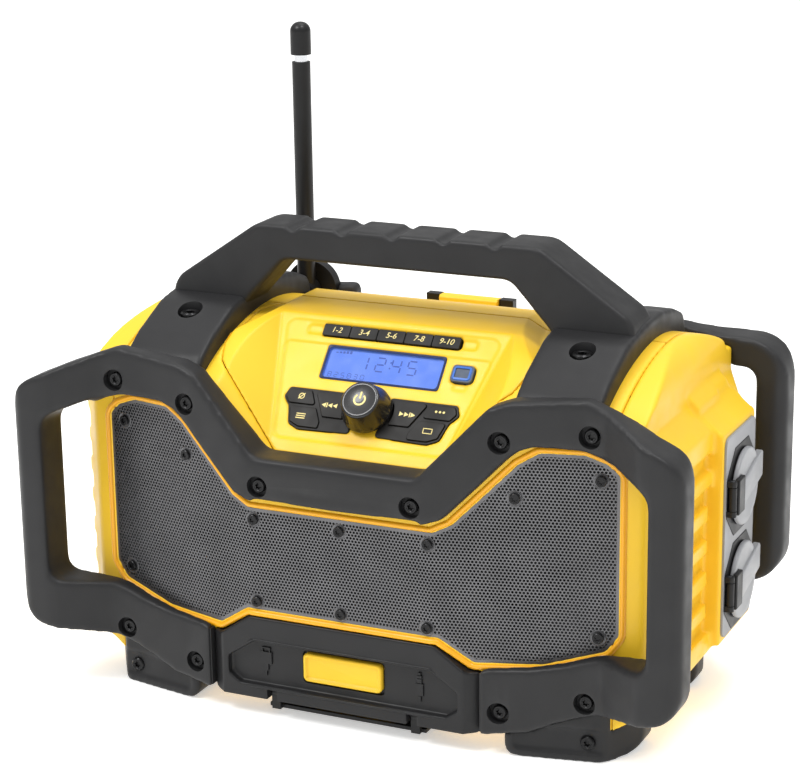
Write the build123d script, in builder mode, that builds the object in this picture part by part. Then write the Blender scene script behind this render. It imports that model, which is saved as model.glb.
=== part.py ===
"""Jobsite radio: roll-cage frames and carry handle round a two-piece moulded housing.

Frame: +X to the right seen from the front, +Y to the back, +Z up.
The origin is on the floor, below the middle of the cage. Millimetres.
"""

import os
from math import cos, degrees, radians, sin, tan

from build123d import *

os.makedirs("parts", exist_ok=True)

# ---------------------------------------------------------------- driving dimensions
cage_half_width = 226.9  # outer faces of the side loops
cage_half_depth = 120.0  # front faces of the front loops, back faces of the rear loops
loop_bar_width = 21.5  # side loop bar, seen from the front
loop_bar_depth = 29.0  # side loop bar, front to back
cage_chamfer = 4.0

wall = 3.0  # moulded housing
front_wall = 6.0
side_wall = 8.0
body_bottom = 13.5
body_front = 104.5  # front face of the housing at its middle
body_back = 104.0
body_half_width = 206.0
dome_half_width = 190.0
split_y = 12.0  # parting plane of the two housings
cover_start = 172.0  # where the side covers begin

wing_start = 62.0  # the front is flat up to here and then sweeps back
wing_angle = 12.0
wing_slope = tan(radians(wing_angle))

grille_face = 103.4
grille_thickness = 1.2
trim_width = 4.3  # yellow bead round the grille

panel_slope = 47.25  # control panel, from the horizontal
panel_foot_y = -83.0
panel_foot_z = 172.0
panel_length = 104.0
shoulder_angle = 42.0  # side shoulders, from the panel

fit = 0.3  # clearance between parts that move past each other
running = 0.05  # radial clearance of a turning shaft

screw_head_radius = 4.5
screw_head_height = 3.0
screw_shank_radius = 2.0
screw_shank_length = 13.0
counterbore_radius = 7.0
counterbore_depth = 5.0

high = 330.0  # taller than the radio, for cuts
wide = 500.0


# ---------------------------------------------------------------- helpers
def mirrored(right_half):
    """Whole outline from the corners (x, y, radius) of its right half, listed from x = 0 to x = 0."""
    left_half = [(-x, y, r) for x, y, r in reversed(right_half) if x > 0]
    return list(right_half) + left_half


def outline(corners):
    """Closed line through rounded corners (x, y, radius), drawn in the current line context."""
    points = [corner[:2] for corner in corners]
    radii = [corner[2] for corner in corners]
    if any(radii):
        FilletPolyline(*points, radius=radii, close=True)
    else:
        Polyline(*points, close=True)


def prism(plane, corners, start, end, grow=0.0):
    """Solid with an outline of rounded corners (x, y, radius), between two offsets from a plane."""
    with BuildPart(mode=Mode.PRIVATE) as solid:
        with BuildSketch(plane.offset(start)):
            with BuildLine():
                outline(corners)
            make_face()
            if grow:
                offset(amount=grow, kind=Kind.INTERSECTION)
        extrude(amount=end - start)
    return solid.part


def front_prism(corners, front, back, grow=0.0):
    """Solid with an outline seen from the front, between two values of y."""
    return prism(Plane.XZ, corners, -back, -front, grow)


def box(x_range, y_range, z_range):
    """Plain box between limits."""
    with BuildPart(mode=Mode.PRIVATE) as solid:
        size = [last - first for first, last in (x_range, y_range, z_range)]
        middle = [(last + first) / 2 for first, last in (x_range, y_range, z_range)]
        with Locations(tuple(middle)):
            Box(*size)
    return solid.part


def rod(start, direction, radius, length, bore=0.0, taper=0.0):
    """Cylinder, cone or tube from a start point along a direction."""
    with BuildPart(mode=Mode.PRIVATE) as solid:
        with BuildSketch(Plane(origin=start, z_dir=direction)):
            Circle(radius)
            if bore:
                Circle(bore, mode=Mode.SUBTRACT)
        extrude(amount=length, taper=taper)
    return solid.part


def common(first, *others):
    """Solid that all of these share."""
    with BuildPart(mode=Mode.PRIVATE) as solid:
        add(first)
        for other in others:
            add(other, mode=Mode.INTERSECT)
    return solid.part


def joined(solids):
    """All of these solids as one object, for a cut."""
    with BuildPart(mode=Mode.PRIVATE) as whole:
        for solid in solids:
            add(solid)
    return whole.part


def wing_y(x, distance):
    """y of the swept front surface that lies at this distance from the middle at x = 0."""
    return -distance + max(0.0, abs(x) - wing_start) * wing_slope


def wing_slab(front, back, half_width=cage_half_width, bottom=0.0, top=high):
    """Slab that follows the flat middle and the two swept wings of the front."""
    right = [(0, wing_y(0, front), 0), (wing_start, wing_y(0, front), 0)]
    right += [(half_width, wing_y(half_width, front), 0), (half_width, wing_y(half_width, back), 0)]
    right += [(wing_start, wing_y(0, back), 0), (0, wing_y(0, back), 0)]
    return prism(Plane.XY, mirrored(right), bottom, top)


def wing_plane(side, x, z, distance):
    """Plane on the wing surface, with its normal to the front."""
    tilt = radians(wing_angle) if x > wing_start else 0.0
    normal = (side * sin(tilt), -cos(tilt), 0)
    return Plane(origin=(side * x, wing_y(x, distance), z), x_dir=(0, 0, 1), z_dir=normal)


# ---------------------------------------------------------------- control panel planes
panel_normal = Vector(0, -sin(radians(panel_slope)), cos(radians(panel_slope)))
panel = Plane(origin=(0, panel_foot_y, panel_foot_z), x_dir=(1, 0, 0), z_dir=panel_normal)
crease_foot = 58.0  # half width of the flat panel at its foot and its top
crease_top = 82.0


def shoulder_plane(side):
    """Plane of the side shoulder that rises outwards from the panel's crease."""
    foot = panel.from_local_coords(Vector(side * crease_foot, 0, 0))
    top = panel.from_local_coords(Vector(side * crease_top, panel_length, 0))
    crease = (top - foot).normalized()
    outward = crease.cross(panel_normal) * side
    rise = outward * cos(radians(shoulder_angle)) + panel_normal * sin(radians(shoulder_angle))
    normal = rise.cross(crease) * side
    return Plane(origin=foot, x_dir=crease, z_dir=normal)


# ---------------------------------------------------------------- housing envelope
plan_right = [
    (0, -body_front, 0), (wing_start, -body_front, 0), (189, wing_y(189, body_front), 5),
    (body_half_width, -60, 10), (body_half_width, 66, 14), (188, 95, 14), (150, body_back, 8),
    (0, body_back, 0),
]
front_right = [
    (0, 246, 0), (dome_half_width, 246, 26), (dome_half_width, 207, 4), (body_half_width, 192, 5),
    (body_half_width, 46, 8), (196, 32, 8), (168, 18, 10), (110, body_bottom, 10), (0, body_bottom, 0),
]
head_right = [(0, 258, 0), (64, 258, 6), (105, 236, 0), (105, 120, 0), (0, 120, 0)]
shoulder_front = (-86, 210)
crest = (10, 242.5)
crest_back = (80, 229)
trough_floor = 222.0  # channel behind the crest, where the folded antenna lies
trough_front = 82.0
head_front = (-84, 207)
head_crest = (8, 249)
head_back = (79, 231)


def envelope(inset=0.0):
    """Outer form of the whole housing, or the same form with every face moved in by inset."""
    with BuildPart() as form:
        with BuildSketch(Plane.XY):
            with BuildLine():
                corners = mirrored(plan_right)
                FilletPolyline(*[c[:2] for c in corners], radius=[c[2] for c in corners], close=True)
            make_face()
            if inset:
                offset(amount=-inset, kind=Kind.INTERSECTION)
        extrude(amount=high)
        with BuildSketch(Plane.YZ.offset(-wide / 2)):
            with BuildLine():
                Polyline((trough_front, trough_floor), (112, trough_floor), (112, 0), (-112, 0), (-112, 186),
                         shoulder_front)
                front_arc = ThreePointArc(shoulder_front, (-30, 235.5), crest)
                TangentArc(crest, crest_back, tangent=front_arc % 1)
                Line(crest_back, (trough_front, trough_floor))
            make_face()
            if inset:
                offset(amount=-inset, kind=Kind.INTERSECTION)
        extrude(amount=wide, mode=Mode.INTERSECT)
        with BuildSketch(Plane.XZ.offset(-wide / 2)):
            with BuildLine():
                corners = mirrored(front_right)
                FilletPolyline(*[c[:2] for c in corners], radius=[c[2] for c in corners], close=True)
            make_face()
            if inset:
                offset(amount=-inset, kind=Kind.INTERSECTION)
        extrude(amount=wide, mode=Mode.INTERSECT)
    with BuildPart() as head:
        with BuildSketch(Plane.YZ.offset(-wide / 2)):
            with BuildLine():
                Polyline((trough_front, trough_floor), (trough_front, 130), (head_front[0], 130), head_front)
                front_arc = ThreePointArc(head_front, (-43, 235.5), head_crest)
                TangentArc(head_crest, head_back, tangent=front_arc % 1)
                Line(head_back, (trough_front, trough_floor))
            make_face()
            if inset:
                offset(amount=-inset, kind=Kind.INTERSECTION)
        extrude(amount=wide, mode=Mode.ADD)
        with BuildSketch(Plane.XZ.offset(-wide / 2)):
            with BuildLine():
                corners = mirrored(head_right)
                FilletPolyline(*[c[:2] for c in corners], radius=[c[2] for c in corners], close=True)
            make_face()
            if inset:
                offset(amount=-inset, kind=Kind.INTERSECTION)
        extrude(amount=wide, mode=Mode.INTERSECT)
    with BuildPart() as recess:
        with BuildSketch(panel.offset(-inset)):
            Rectangle(wide, wide)
        extrude(amount=150)
        for side in (-1, 1):
            with BuildSketch(shoulder_plane(side).offset(-inset)):
                Rectangle(2 * wide, 2 * wide)
            extrude(amount=wide, mode=Mode.INTERSECT)
    with BuildPart() as whole:
        add(form.part)
        add(head.part)
        add(recess.part, mode=Mode.SUBTRACT)
    return whole.part


outer_form = envelope()
cavity = common(
    envelope(wall),
    wing_slab(body_front - front_wall, -body_back - 60, half_width=body_half_width - side_wall),
)
with BuildPart() as shell_block:
    add(outer_form)
    add(cavity, mode=Mode.SUBTRACT)
shell = shell_block.part

# ---------------------------------------------------------------- openings in the housing
grille_right = [
    (0, 141.2, 0), (63, 141.2, 6), (75, 147, 6), (115, 188, 8), (128, 196, 8), (155, 196, 10),
    (168, 191, 8), (176, 184, 8), (176, 82, 8), (168, 71, 8), (130, 59.5, 10), (88, 57.5, 6),
    (66, 72.3, 6), (0, 72.3, 0),
]
grille_outline = mirrored(grille_right)
grille_back = grille_face - grille_thickness
baffle_edge = 5.0  # seat of the grille on the housing
grille_recess = common(wing_slab(body_front + 5, grille_back), front_prism(grille_outline, -140, -40))
baffle_plug = common(
    wing_slab(grille_back, body_front - front_wall), front_prism(grille_outline, -140, -40, -baffle_edge)
)

door_half_width = 93.8
door_bottom = 12.5
door_face = 106.0
door_back = 99.0
door_right = [
    (0, 68, 0), (64, 68, 5), (86, 53, 5), (door_half_width, 52.5, 3), (door_half_width, door_bottom, 4),
    (0, door_bottom, 0),
]
door_outline = mirrored(door_right)
door_pocket = front_prism(door_outline, -130, -85, 0.5)
door_axis = (-98.0, 16.2)  # y and z of the hinge line
hinge_trough = box((-94.3, 94.3), (-130, -91), (0, 21.5))

fascia_right = [
    (0, 1, 0), (55, 1, 3), (100, 50, 8), (104, 62, 4), (104, 105, 4), (86, 128, 4), (86, 190, 0),
    (0, 190, 0),
]
fascia_block = common(
    prism(panel, mirrored(fascia_right), -70, 120), box((-wide, wide), (-130, split_y), (0, high))
)

battery_opening = box((-72, 72), (95, 120), (62, 210))
antenna_pivot = (-117.0, 90.0, 231.5)
antenna_seat = rod((antenna_pivot[0], 97, antenna_pivot[2]), (0, 1, 0), 19, 8)

# ---------------------------------------------------------------- screws
frame_screw_spots = [(162, 211, -96.4), (107, 203, -102.7), (52, 158, -112), (160, 42, -96.6), (106, 29, -102.9)]
foot_screw_spot = (159, 12.5, -85.8)
rear_screw_spots = [(94, 198), (94, 110), (142, 70)]
strap_bolt_spots = [(136, -40, 241.5), (136, 58, 243.0)]  # x, y and the z of the bolt's seat
grille_screw_spots = [(164, 180), (113, 166), (60, 133), (163, 80), (59, 78)]


def screw(seat, direction, head, head_height, shank, length):
    """Screw with its head in front of the seat; direction points out of the head."""
    back = tuple(-value for value in direction)
    with BuildPart(mode=Mode.PRIVATE) as solid:
        add(rod(seat, direction, head, head_height))
        add(rod(seat, back, shank, length))
    return solid.part


def body_screw(seat, direction):
    return screw(seat, direction, screw_head_radius, screw_head_height, screw_shank_radius,
                 screw_shank_length)


def frame_screw(x, z, face):
    return body_screw((x, face + counterbore_depth, z), (0, -1, 0))


def frame_counterbore(x, z, face):
    return rod((x, face + counterbore_depth, z), (0, -1, 0), counterbore_radius, 20)


both_sides = [(side * x, z, face) for x, z, face in frame_screw_spots for side in (-1, 1)]
frame_screw_set = joined(frame_screw(*spot) for spot in both_sides)
frame_counterbores = joined(frame_counterbore(*spot) for spot in both_sides)

rear_both = [(side * x, z) for x, z in rear_screw_spots for side in (-1, 1)]
rear_screw_set = joined(body_screw((x, 107.5, z), (0, 1, 0)) for x, z in rear_both)
rear_counterbores = joined(rod((x, 107.5, z), (0, 1, 0), counterbore_radius, 10) for x, z in rear_both)

foot_x, foot_z, foot_seat = foot_screw_spot
foot_screw_set = joined(
    body_screw((side * foot_x, -end * foot_seat, foot_z), (0, end, 0)) for side in (-1, 1) for end in (-1, 1)
)

strap_both = [(side * x, y, z) for x, y, z in strap_bolt_spots for side in (-1, 1)]
strap_bolt_set = joined(screw(spot, (0, 0, 1), 6.5, 4.0, 3.0, 24) for spot in strap_both)
strap_counterbores = joined(rod(spot, (0, 0, 1), 8.25, 40) for spot in strap_both)


def grille_screw(side, x, z):
    surface = wing_plane(side, x, z, grille_face)
    normal = tuple(surface.z_dir)
    return screw(tuple(surface.origin), normal, 3.4, 1.7, 1.5, 7)


grille_screw_list = [grille_screw(side, x, z) for x, z in grille_screw_spots for side in (-1, 1)]
grille_screw_list += [grille_screw(1, 0, z) for z in (133, 78)]
grille_screw_set = joined(grille_screw_list)

# ---------------------------------------------------------------- housing halves
inner_span = box((-cover_start, cover_start), (-130, 130), (0, high))
with BuildPart() as front_housing:
    add(shell)
    add(inner_span, mode=Mode.INTERSECT)
    add(box((-wide, wide), (-200, split_y), (0, high)), mode=Mode.INTERSECT)
    for cutter in (fascia_block, grille_recess, baffle_plug, door_pocket, hinge_trough, frame_screw_set,
                   strap_bolt_set, grille_screw_set):
        add(cutter, mode=Mode.SUBTRACT)

with BuildPart() as rear_housing:
    add(shell)
    add(inner_span, mode=Mode.INTERSECT)
    add(box((-wide, wide), (split_y, 200), (0, high)), mode=Mode.INTERSECT)
    for cutter in (battery_opening, antenna_seat, rear_screw_set, strap_bolt_set):
        add(cutter, mode=Mode.SUBTRACT)

# ---------------------------------------------------------------- side covers
groove_tops = [80.0 + 21.5 * step for step in range(-1, 5)]  # lower edge of each groove between ribs
groove_height = 12.0
groove_depth = 5.0
field_face = body_half_width - groove_depth
lug_profile = [(160, 196, 0), (160, 222, 0), (176, 224, 9), (196, 208, 9), (199, 196, 0)]
socket_profile = [(196, 46, 0), (213, 50, 2), (213, 188, 3), (196, 203, 0)]
socket_face = 213.0
outlet_y = 38.0
outlet_heights = (147.0, 84.0)
outlet_radius = 20.0


def cover_base(rib_back):
    """Ribbed end cover of the right side with its shoulder lug; its ribs end at y = rib_back."""
    with BuildPart(mode=Mode.PRIVATE) as solid:
        add(shell)
        add(box((cover_start, 230), (-130, 130), (0, high)), mode=Mode.INTERSECT)
        add(front_prism(lug_profile, 15, 65))
        add(cavity, mode=Mode.SUBTRACT)
        add(box((0, cover_start), (-130, 130), (0, high)), mode=Mode.SUBTRACT)
        for bottom in groove_tops:
            groove = box((field_face, 230), (-75, rib_back), (bottom, bottom + groove_height))
            add(groove, mode=Mode.SUBTRACT)
        add(grille_recess, mode=Mode.SUBTRACT)
    return solid.part


with BuildPart() as side_cover_left:
    mirror(cover_base(50.0), about=Plane.YZ)

with BuildPart() as side_cover_right:
    add(cover_base(3.0))
    add(front_prism(socket_profile, 3, 70))
    add(cavity, mode=Mode.SUBTRACT)
    for height in outlet_heights:
        add(rod((180, outlet_y, height), (1, 0, 0), outlet_radius, 40), mode=Mode.SUBTRACT)

# ---------------------------------------------------------------- control fascia
panel_floor = -1.5  # sunk face that carries the controls
pad_bottom = -5.0
knob_spot = (0.0, 36.0)
knob_base_radius = 16.4


def on_panel(corners, low, top, grow=0.0):
    return prism(panel, corners, low, top, grow)


def panel_block(x_range, s_range, low, top, radius=0.0):
    """Block on the control panel between limits across, up the slope and along the normal."""
    corners = [(x_range[0], s_range[0], radius), (x_range[1], s_range[0], radius),
               (x_range[1], s_range[1], radius), (x_range[0], s_range[1], radius)]
    return prism(panel, corners, low, top)


def panel_rod(x, s, radius, low, top, bore=0.0, taper=0.0):
    start = panel.from_local_coords(Vector(x, s, low))
    return rod(tuple(start), tuple(panel_normal), radius, top - low, bore, taper)


def flipped(corners, side):
    return [(side * x, y, r) for x, y, r in corners]


keypad_corners = [(58, 47, 2), (13, 47, 1.5), (9, 19.4, 2), (44.5, 18.3, 3), (52, 21.8, 3), (55.5, 34, 2),
                  (60.6, 40, 2.5)]
step_key = [(38.6, 45.2, 1.5), (15.5, 45.2, 1), (15.5, 28.6, 1), (29.8, 28.6, 1.5)]
upper_key = [(42.2, 45.2, 1.2), (57.2, 45.2, 2), (58.8, 40.4, 1.5), (55.6, 36, 1.5), (37.4, 36, 1.2)]
lower_key = [(35.8, 33.4, 1.2), (53.8, 33.4, 1.2), (50.9, 23, 2), (44.3, 20.2, 2), (31, 20.2, 1.2),
             (31, 24.4, 1)]
key_gap = 0.35
key_flange = 0.9
lcd_x, lcd_s = (-41.0, 41.0), (56.0, 79.5)
preset_pitch = 19.2
preset_s = (85.6, 93.6)
pairing_x, pairing_s = (47.7, 62.3), (63.2, 74.8)
knob_clear = panel_rod(*knob_spot, 17.6, -12, 12)
key_corners = {
    "key_previous": flipped(step_key, -1),
    "key_mute": flipped(upper_key, -1),
    "key_menu": flipped(lower_key, -1),
    "key_next": step_key,
    "key_mode": upper_key,
    "key_display": lower_key,
}

with BuildPart() as control_fascia:
    add(shell)
    add(fascia_block, mode=Mode.INTERSECT)
    add(on_panel(mirrored([(0, 3, 0), (56, 3, 0), (78, 100, 0), (0, 100, 0)]), pad_bottom, -2.5))
    sunk_panel = mirrored([(0, 11, 0), (59, 11, 6), (72.5, 80, 3), (0, 80, 0)])
    upper_sunk = mirrored([(0, 79, 0), (72.3, 79, 0), (76, 95.5, 6), (0, 95.5, 0)])
    add(on_panel(sunk_panel, panel_floor, 12), mode=Mode.SUBTRACT)
    add(on_panel(upper_sunk, panel_floor / 2, 12), mode=Mode.SUBTRACT)
    for side in (-1, 1):
        add(on_panel(flipped(keypad_corners, side), -9, 12), mode=Mode.SUBTRACT)
        dimple = sorted((side * 48.0, side * 59.5))
        add(panel_block(dimple, (86.2, 93.0), -1.9, 12, 2.5), mode=Mode.SUBTRACT)
        for x, s in ((52, 12.5), (56, 90.5)):
            add(panel_rod(side * x, s, 3, -11.4, pad_bottom + 1))
    add(panel_block(lcd_x, lcd_s, -9, 12, 1.5), mode=Mode.SUBTRACT)
    add(panel_block((-48.4, 48.4), (85.3, 93.9), -9, 12, 1), mode=Mode.SUBTRACT)
    add(on_panel([(47.4, 62.9, 2.8), (62.6, 62.9, 2.8), (62.6, 75.1, 2.8), (47.4, 75.1, 2.8)], -9, 12),
        mode=Mode.SUBTRACT)
    add(panel_block((50, 60), (57.5, 64), -2.1, 12, 2), mode=Mode.SUBTRACT)
    add(panel_rod(*knob_spot, 3.5, -9, 12), mode=Mode.SUBTRACT)

with BuildPart() as keypad_bezels:
    for side in (-1, 1):
        add(on_panel(flipped(keypad_corners, side), pad_bottom, -0.9))
        for corners in (step_key, upper_key, lower_key):
            add(on_panel(flipped(corners, side), -9, 12, key_gap), mode=Mode.SUBTRACT)


def key_solid(corners, top):
    """Key with a wider flange that holds it under the bezel, clear of the turning knob."""
    with BuildPart(mode=Mode.PRIVATE) as solid:
        add(on_panel(corners, -6.6, top))
        add(on_panel(corners, -6.6, -5.4, key_flange))
        add(knob_clear, mode=Mode.SUBTRACT)
    return solid.part


with BuildPart() as key_previous:
    add(key_solid(key_corners["key_previous"], 0.2))
with BuildPart() as key_next:
    add(key_solid(key_corners["key_next"], 0.2))
with BuildPart() as key_mute:
    add(key_solid(key_corners["key_mute"], 0.0))
with BuildPart() as key_menu:
    add(key_solid(key_corners["key_menu"], 0.0))
with BuildPart() as key_mode:
    add(key_solid(key_corners["key_mode"], 0.0))
with BuildPart() as key_display:
    add(key_solid(key_corners["key_display"], 0.0))


def preset_solid(place):
    """One key of the preset strip, held under the fascia by its two long edges."""
    middle = preset_pitch * (place - 2)
    with BuildPart(mode=Mode.PRIVATE) as solid:
        add(panel_block((middle - 9.3, middle + 9.3), preset_s, -6.6, 0.4, 0.8))
        add(panel_block((middle - 9.3, middle + 9.3), (84.2, 95.0), -6.6, -5.4, 0.8))
    return solid.part


with BuildPart() as preset_key_1:
    add(preset_solid(0))
with BuildPart() as preset_key_2:
    add(preset_solid(1))
with BuildPart() as preset_key_3:
    add(preset_solid(2))
with BuildPart() as preset_key_4:
    add(preset_solid(3))
with BuildPart() as preset_key_5:
    add(preset_solid(4))

with BuildPart() as pairing_button:
    add(panel_block(pairing_x, pairing_s, -6.6, 0.2, 2.5))
    add(panel_block((46.7, 63.3), (62.2, 75.8), -6.6, -5.4, 2.5))

with BuildPart() as display_window:
    add(panel_block(lcd_x, lcd_s, -3.4, -1.9, 1.5))

with BuildPart() as display_module:
    add(panel_block((-44.5, 44.5), (53.5, 82), -11.4, pad_bottom, 1.5))
    add(panel_block(lcd_x, lcd_s, pad_bottom, -3.4, 1.5))

encoder_pin_radius = 1.5
encoder_block = panel_block((-7, 7), (29, 43), -11.4, pad_bottom)
with BuildPart() as encoder_plunger:
    add(panel_rod(*knob_spot, 2.0, -9.6, -8.6))
    add(panel_rod(*knob_spot, encoder_pin_radius, -8.6, 8))

knob_bottom = 0.9
knob_top = 16.2
with BuildPart() as volume_knob:
    add(panel_rod(*knob_spot, knob_base_radius, knob_bottom, 3.4))
    add(panel_rod(*knob_spot, knob_base_radius, 3.4, knob_top - 1, taper=18))
    rim_radius = knob_base_radius - (knob_top - 4.4) * tan(radians(18))
    add(panel_rod(*knob_spot, rim_radius, knob_top - 1, knob_top, taper=45))
    add(panel_rod(*knob_spot, 13.5, 0, 6), mode=Mode.SUBTRACT)
    add(panel_rod(*knob_spot, 5, 2, 8))
    add(panel_rod(*knob_spot, 2.3, -8.3, 3))
    add(panel_rod(*knob_spot, encoder_pin_radius + running, -9, 9), mode=Mode.SUBTRACT)

with BuildPart() as control_board:
    add(panel_block((-64, 64), (8, 97), -13, -11.4, 2))
    add(encoder_block)
    add(panel_rod(*knob_spot, 3.5, pad_bottom - 1, -1.6))
    add(panel_rod(*knob_spot, 2.3 + running, -11.1, 2), mode=Mode.SUBTRACT)

with BuildPart() as key_membrane:
    add(panel_block((-62.5, 62.5), (16.5, 96.5), -11.4, -10.8, 2))
    add(panel_block((-44.5, 44.5), (53.5, 82), -12, -9), mode=Mode.SUBTRACT)
    add(panel_block((-7, 7), (29, 43), -12, -9), mode=Mode.SUBTRACT)
    for side in (-1, 1):
        add(panel_rod(side * 56, 90.5, 3, -12, -9), mode=Mode.SUBTRACT)
        for x, s in ((26, 37), (48, 41), (42, 27)):
            add(panel_rod(side * x, s, 2.5, -10.8, -7.9))
    for place in range(5):
        add(panel_rod(preset_pitch * (place - 2), 89.6, 2.5, -10.8, -7.9))
    add(panel_rod(55, 69, 2.5, -10.8, -7.9))

# ---------------------------------------------------------------- grille, baffle, speakers
speaker_spot = (120.0, 128.0)
speaker_radius = 44.0
speaker_depth = 36.0
baffle_back = body_front - front_wall - 3.0

with BuildPart() as speaker_grille:
    add(common(wing_slab(grille_face, grille_back), front_prism(grille_outline, -140, -40)))
    add(grille_screw_set, mode=Mode.SUBTRACT)

with BuildPart() as speaker_baffle:
    add(baffle_plug)
    add(common(wing_slab(body_front - front_wall, baffle_back),
               front_prism(grille_outline, -140, -40, 4 - baffle_edge)))
    for side in (-1, 1):
        front = wing_plane(side, *speaker_spot, grille_back + 5)
        add(rod(tuple(front.origin), tuple(-front.z_dir), 36, 20), mode=Mode.SUBTRACT)
    add(grille_screw_set, mode=Mode.SUBTRACT)


def speaker_rod(side, radius, front, back, bore=0.0, taper=0.0):
    """Ring or cone of a speaker, between two depths behind the baffle."""
    seat = wing_plane(side, *speaker_spot, baffle_back)
    start = seat.origin - seat.z_dir * front
    return rod(tuple(start), tuple(-seat.z_dir), radius, back - front, bore, taper)


def speaker_frame(side):
    with BuildPart(mode=Mode.PRIVATE) as solid:
        add(speaker_rod(side, speaker_radius, 0, 3))
        add(speaker_rod(side, 40, 3, 20, taper=38))
        add(speaker_rod(side, 26, 20, speaker_depth))
        add(speaker_rod(side, 35, 0, 3), mode=Mode.SUBTRACT)
        add(speaker_rod(side, 35, 3, 17, taper=52), mode=Mode.SUBTRACT)
    return solid.part


def speaker_membrane(side):
    with BuildPart(mode=Mode.PRIVATE) as solid:
        add(speaker_rod(side, 35, 1.5, 3))
        add(speaker_rod(side, 34.5, 3, 12, taper=60))
        add(speaker_rod(side, 29, 1, 3), mode=Mode.SUBTRACT)
        add(speaker_rod(side, 29, 3, 10.5, taper=60), mode=Mode.SUBTRACT)
        add(speaker_rod(side, 11, 5, 12))
    return solid.part


with BuildPart() as speaker_left:
    add(speaker_frame(-1))
    add(speaker_membrane(-1))
with BuildPart() as speaker_right:
    add(speaker_frame(1))
    add(speaker_membrane(1))

# ---------------------------------------------------------------- cage frames
front_frame_right = [
    (0, 176, 0), (55, 176, 8), (99, 223, 8), (112, 228, 10), (160, 233, 14), (192, 221, 14),
    (226.9, 206, 22), (226.9, 47.5, 22), (164, 34, 12), (143, 26.5, 10), (124, 17.5, 10),
    (94.5, 12.5, 0), (94.5, 56.5, 0), (126, 60, 10), (146, 64.5, 10), (168, 72, 10),
    (205.4, 76.5, 10), (205.4, 187, 12), (158, 205.5, 10), (140, 209, 10), (107, 203, 10),
    (60, 149, 8), (0, 148, 0),
]
front_band_right = [
    (0, -112, 0), (60, -112, 4), (108, -102.5, 10), (158, -96.5, 10), (170, -97.5, 8), (200, -119, 10),
    (206, -120, 4), (221, -120, 3), (226.9, -114, 3), (226.9, -96, 3), (222, -91, 3), (205, -91, 4),
    (186, -86, 4), (165, -84, 0), (104, -84, 0), (96, -86, 0), (0, -86, 0),
]
rear_frame_right = [
    (0, 14, 0), (84, 14, 0), (120, 20, 10), (140, 30, 10), (165, 50, 10), (226.9, 67, 26),
    (226.9, 226, 28), (176, 229, 10), (150, 232, 8), (84, 236, 4), (84, 42, 4), (0, 42, 0),
]
rear_band_right = [
    (0, 98, 0), (150, 98, 0), (186, 91, 4), (222, 91, 3), (226.9, 96, 3), (226.9, 114, 3),
    (221, 120, 3), (206, 120, 4), (200, 119, 6), (165, 112, 8), (0, 112, 0),
]
loop_window = [(104, 91, 6), (206, 91, 8), (206, 208, 8), (104, 208, 6)]

with BuildPart() as front_frame:
    add(common(front_prism(mirrored(front_frame_right), -125, -80),
               prism(Plane.XY, mirrored(front_band_right), 0, high)))
    add(outer_form, mode=Mode.SUBTRACT)
    add(frame_counterbores, mode=Mode.SUBTRACT)
    add(frame_screw_set, mode=Mode.SUBTRACT)

with BuildPart() as rear_frame:
    add(common(front_prism(mirrored(rear_frame_right), 85, 125),
               prism(Plane.XY, mirrored(rear_band_right), 0, high)))
    add(outer_form, mode=Mode.SUBTRACT)
    for side in (-1, 1):
        add(front_prism(flipped(loop_window, side), 80, 130), mode=Mode.SUBTRACT)
        for x in (37.5, 54.3):
            middle = side * x
            add(box((middle - 1.7, middle + 1.7), (104.8, 111.2), (40, 47.5)))
            add(rod((middle - 1.7, 108, 47.5), (1, 0, 0), 3.2, 3.4))
            add(rod((middle - 3, 108, 47.5), (1, 0, 0), 1.5, 6), mode=Mode.SUBTRACT)
    add(antenna_seat, mode=Mode.SUBTRACT)
    add(rear_counterbores, mode=Mode.SUBTRACT)
    add(rear_screw_set, mode=Mode.SUBTRACT)

# ---------------------------------------------------------------- straps and carry handle
strap_x = (107.0, 163.0)
strap_profile = [
    (-84, 208, 0), (-84, 224, 8), (-79, 231, 12), (-64, 243, 14), (-40, 251, 30), (-18, 255, 30),
    (30, 257, 30), (60, 252, 20), (76, 244, 9), (80, 232, 8), (80, 215, 0),
]
handle_depth = 36.0
handle_right = [
    (0, 303.5, 0), (98, 303.5, 16), (160, 264.5, 11), (163, 256, 11), (163, 246, 0), (107, 246, 0),
    (107, 249, 0), (79, 280, 12), (0, 280, 0),
]
notch_places = (-70.0, -35.0, 0.0, 35.0, 70.0)

with BuildPart() as strap_block:
    add(prism(Plane.YZ, strap_profile, *strap_x))
    top_edges = strap_block.edges().filter_by(lambda edge: edge.center().Z > 213).filter_by(
        lambda edge: min(abs(edge.center().X - x) for x in strap_x) < 0.01)
    chamfer(top_edges, 4)
strap_form = strap_block.part

with BuildPart() as strap_right:
    add(strap_form)
    add(outer_form, mode=Mode.SUBTRACT)
    add(strap_counterbores, mode=Mode.SUBTRACT)
    add(strap_bolt_set, mode=Mode.SUBTRACT)
    add(frame_screw_set, mode=Mode.SUBTRACT)

with BuildPart() as strap_left:
    mirror(strap_right.part, about=Plane.YZ)

with BuildPart() as carry_handle:
    add(front_prism(mirrored(handle_right), -handle_depth / 2, handle_depth / 2))
    long_edges = carry_handle.edges().filter_by(lambda edge: edge.center().Z > 250).filter_by(
        lambda edge: abs(abs(edge.center().Y) - handle_depth / 2) < 0.01)
    fillet(long_edges, 6)
    for x in notch_places:
        add(front_prism([(x - 6.5, 304.5, 0), (x - 3, 299.7, 0), (x + 3, 299.7, 0), (x + 6.5, 304.5, 0)],
                        -30, 30), mode=Mode.SUBTRACT)
    add(strap_form, mode=Mode.SUBTRACT)
    mirror(strap_form, about=Plane.YZ, mode=Mode.SUBTRACT)

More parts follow.
